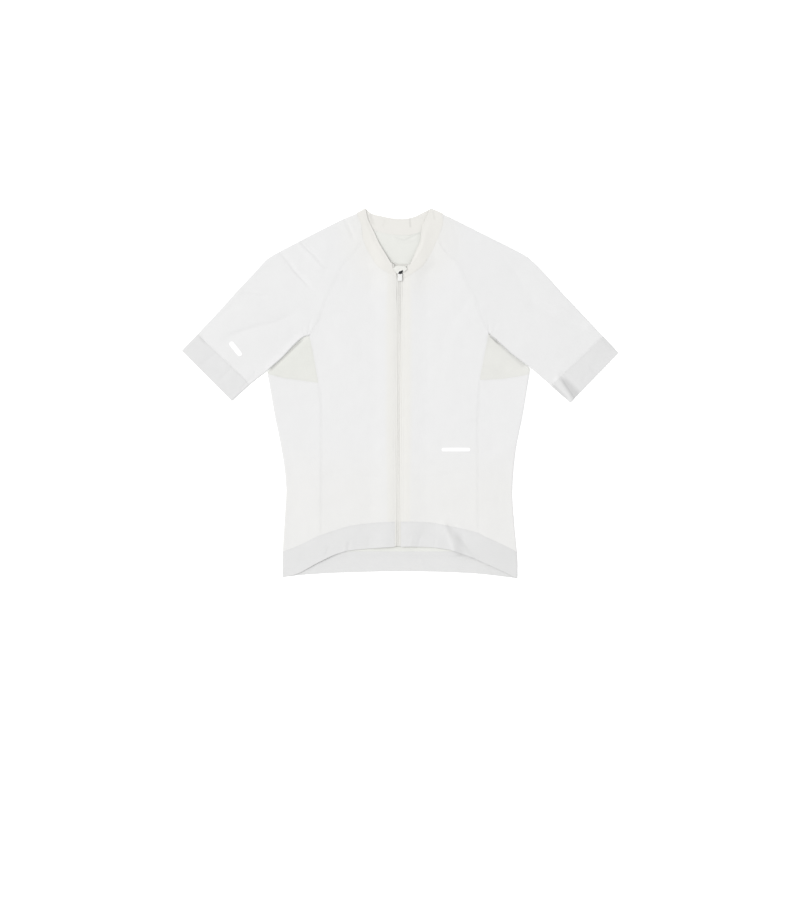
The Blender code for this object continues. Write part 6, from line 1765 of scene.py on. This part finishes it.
# ------------------------------------------------------------- silicone dots
def dots():
    """Rows of small domes on the inside of the hem band, at the back."""
    verts, faces, base = [], [], 0
    rings = [(1.0, 0.0), (0.86, 0.55), (0.5, 0.88)]
    angles = np.linspace(0, 2 * math.pi, 8, endpoint=False)
    for row in range(6):
        y0 = -284.8 - 5.2 * row
        for col in range(-30, 31):
            x = col * 6.2 + (3.1 if row % 2 else 0.0)
            y = y0 - 6.0 * (x / 206.0) ** 2 * (row / 5.0)
            if abs(x) > 190.0:
                continue
            z = float(back_mid(np.array([x]), np.array([y]))[0]) + 0.5 * T - 0.03
            for share, up in rings:
                verts.append(np.column_stack([x + 0.62 * share * np.cos(angles), y + 0.62 * share * np.sin(angles),
                                              np.full(8, z + 0.22 * up)]))
            verts.append(np.array([[x, y, z + 0.22]]))
            faces.append([base + k for k in range(7, -1, -1)])
            for r in range(2):
                for k in range(8):
                    n = (k + 1) % 8
                    faces.append([base + 8 * r + k, base + 8 * r + n, base + 8 * r + 8 + n, base + 8 * r + 8 + k])
            for k in range(8):
                faces.append([base + 16 + k, base + 16 + (k + 1) % 8, base + 24])
            base += 25
    obj = mesh_object("gripper_dots", np.vstack(verts), faces, SILICONE, sharp=70)
    return finish_piece(obj)


dots()


# ------------------------------------------------------------- transfers
def transfer(name, centre, angle, length, width, round_to=None):
    """A plain rounded bar of film on the front layer."""
    steps, across = max(8, int(length / 1.6)), max(4, int(width / 1.2))
    a = math.radians(angle)
    u = np.linspace(-0.5, 0.5, steps + 1)
    v = np.linspace(-0.5, 0.5, across + 1)
    r = round_to if round_to is not None else 0.5 * width
    grid = np.zeros((steps + 1, across + 1, 2))
    for i, uu in enumerate(u):
        along_bar = uu * length
        inset = max(0.0, abs(along_bar) - (0.5 * length - r))
        half = 0.5 * width - (r - math.sqrt(max(0.0, r * r - inset * inset)))
        half = max(half, 0.12)
        for j, vv in enumerate(v):
            w = vv * 2 * half
            grid[i, j] = (centre[0] + along_bar * math.cos(a) - w * math.sin(a),
                          centre[1] + along_bar * math.sin(a) + w * math.cos(a))
    p, n = lay_front(grid)
    p[..., 2] += 0.5 * T + 0.05
    obj = shell(name, (p, n), FILM, wall=0.12, bulge=0.3)
    return finish_piece(obj)


transfer("transfer_sleeve", (-290.6, 78.4), -51.0, 31.0, 8.6)
transfer("transfer_front", (99.0, -99.8), 0.0, 51.0, 6.4)

# ------------------------------------------------------------- floor, light, camera
mesh = bpy.data.meshes.new("floor")
mesh.from_pydata([(-6, -6, 0), (6, -6, 0), (6, 6, 0), (-6, 6, 0)], [], [(0, 1, 2, 3)])
floor = bpy.data.objects.new("floor", mesh)
floor.location = (0, 0, -0.0002)
scene.collection.objects.link(floor)
m = Nodes("studio_floor", (0.97, 0.97, 0.97), 0.9, specular=0.1)
m.shader.inputs["Emission Color"].default_value = (1.0, 1.0, 1.0, 1.0)
m.shader.inputs["Emission Strength"].default_value = 0.30
m.tint(m.ramp(m.noise(400.0, 1.0, 0.4), 0.3, 0.7, 0.998, 1.0))
mesh.materials.append(m.material)

world = bpy.data.worlds.new("studio")
scene.world = world
world.use_nodes = True
world.node_tree.nodes["Background"].inputs["Color"].default_value = (1.0, 1.0, 1.0, 1.0)
world.node_tree.nodes["Background"].inputs["Strength"].default_value = 0.74

light = bpy.data.lights.new("key", "SUN")
light.energy = 1.78
light.angle = math.radians(50)
key = bpy.data.objects.new("key", light)
key.rotation_euler = Vector((0.72, -0.20, -1.0)).to_track_quat("-Z", "Y").to_euler()
scene.collection.objects.link(key)

camera = bpy.data.cameras.new("camera")
camera.type = "PERSP"
camera.sensor_width = 36.0
camera.lens = 90.4
camera.clip_start, camera.clip_end = 0.1, 20.0
eye = bpy.data.objects.new("camera", camera)
eye.location = (0.0, -0.1005, 4.0)
eye.rotation_euler = (0.0, 0.0, 0.0)
scene.collection.objects.link(eye)
scene.camera = eye

scene.view_settings.view_transform = "Standard"
scene.view_settings.look = "None"
scene.view_settings.exposure = 0.0
scene.view_settings.gamma = 1.0
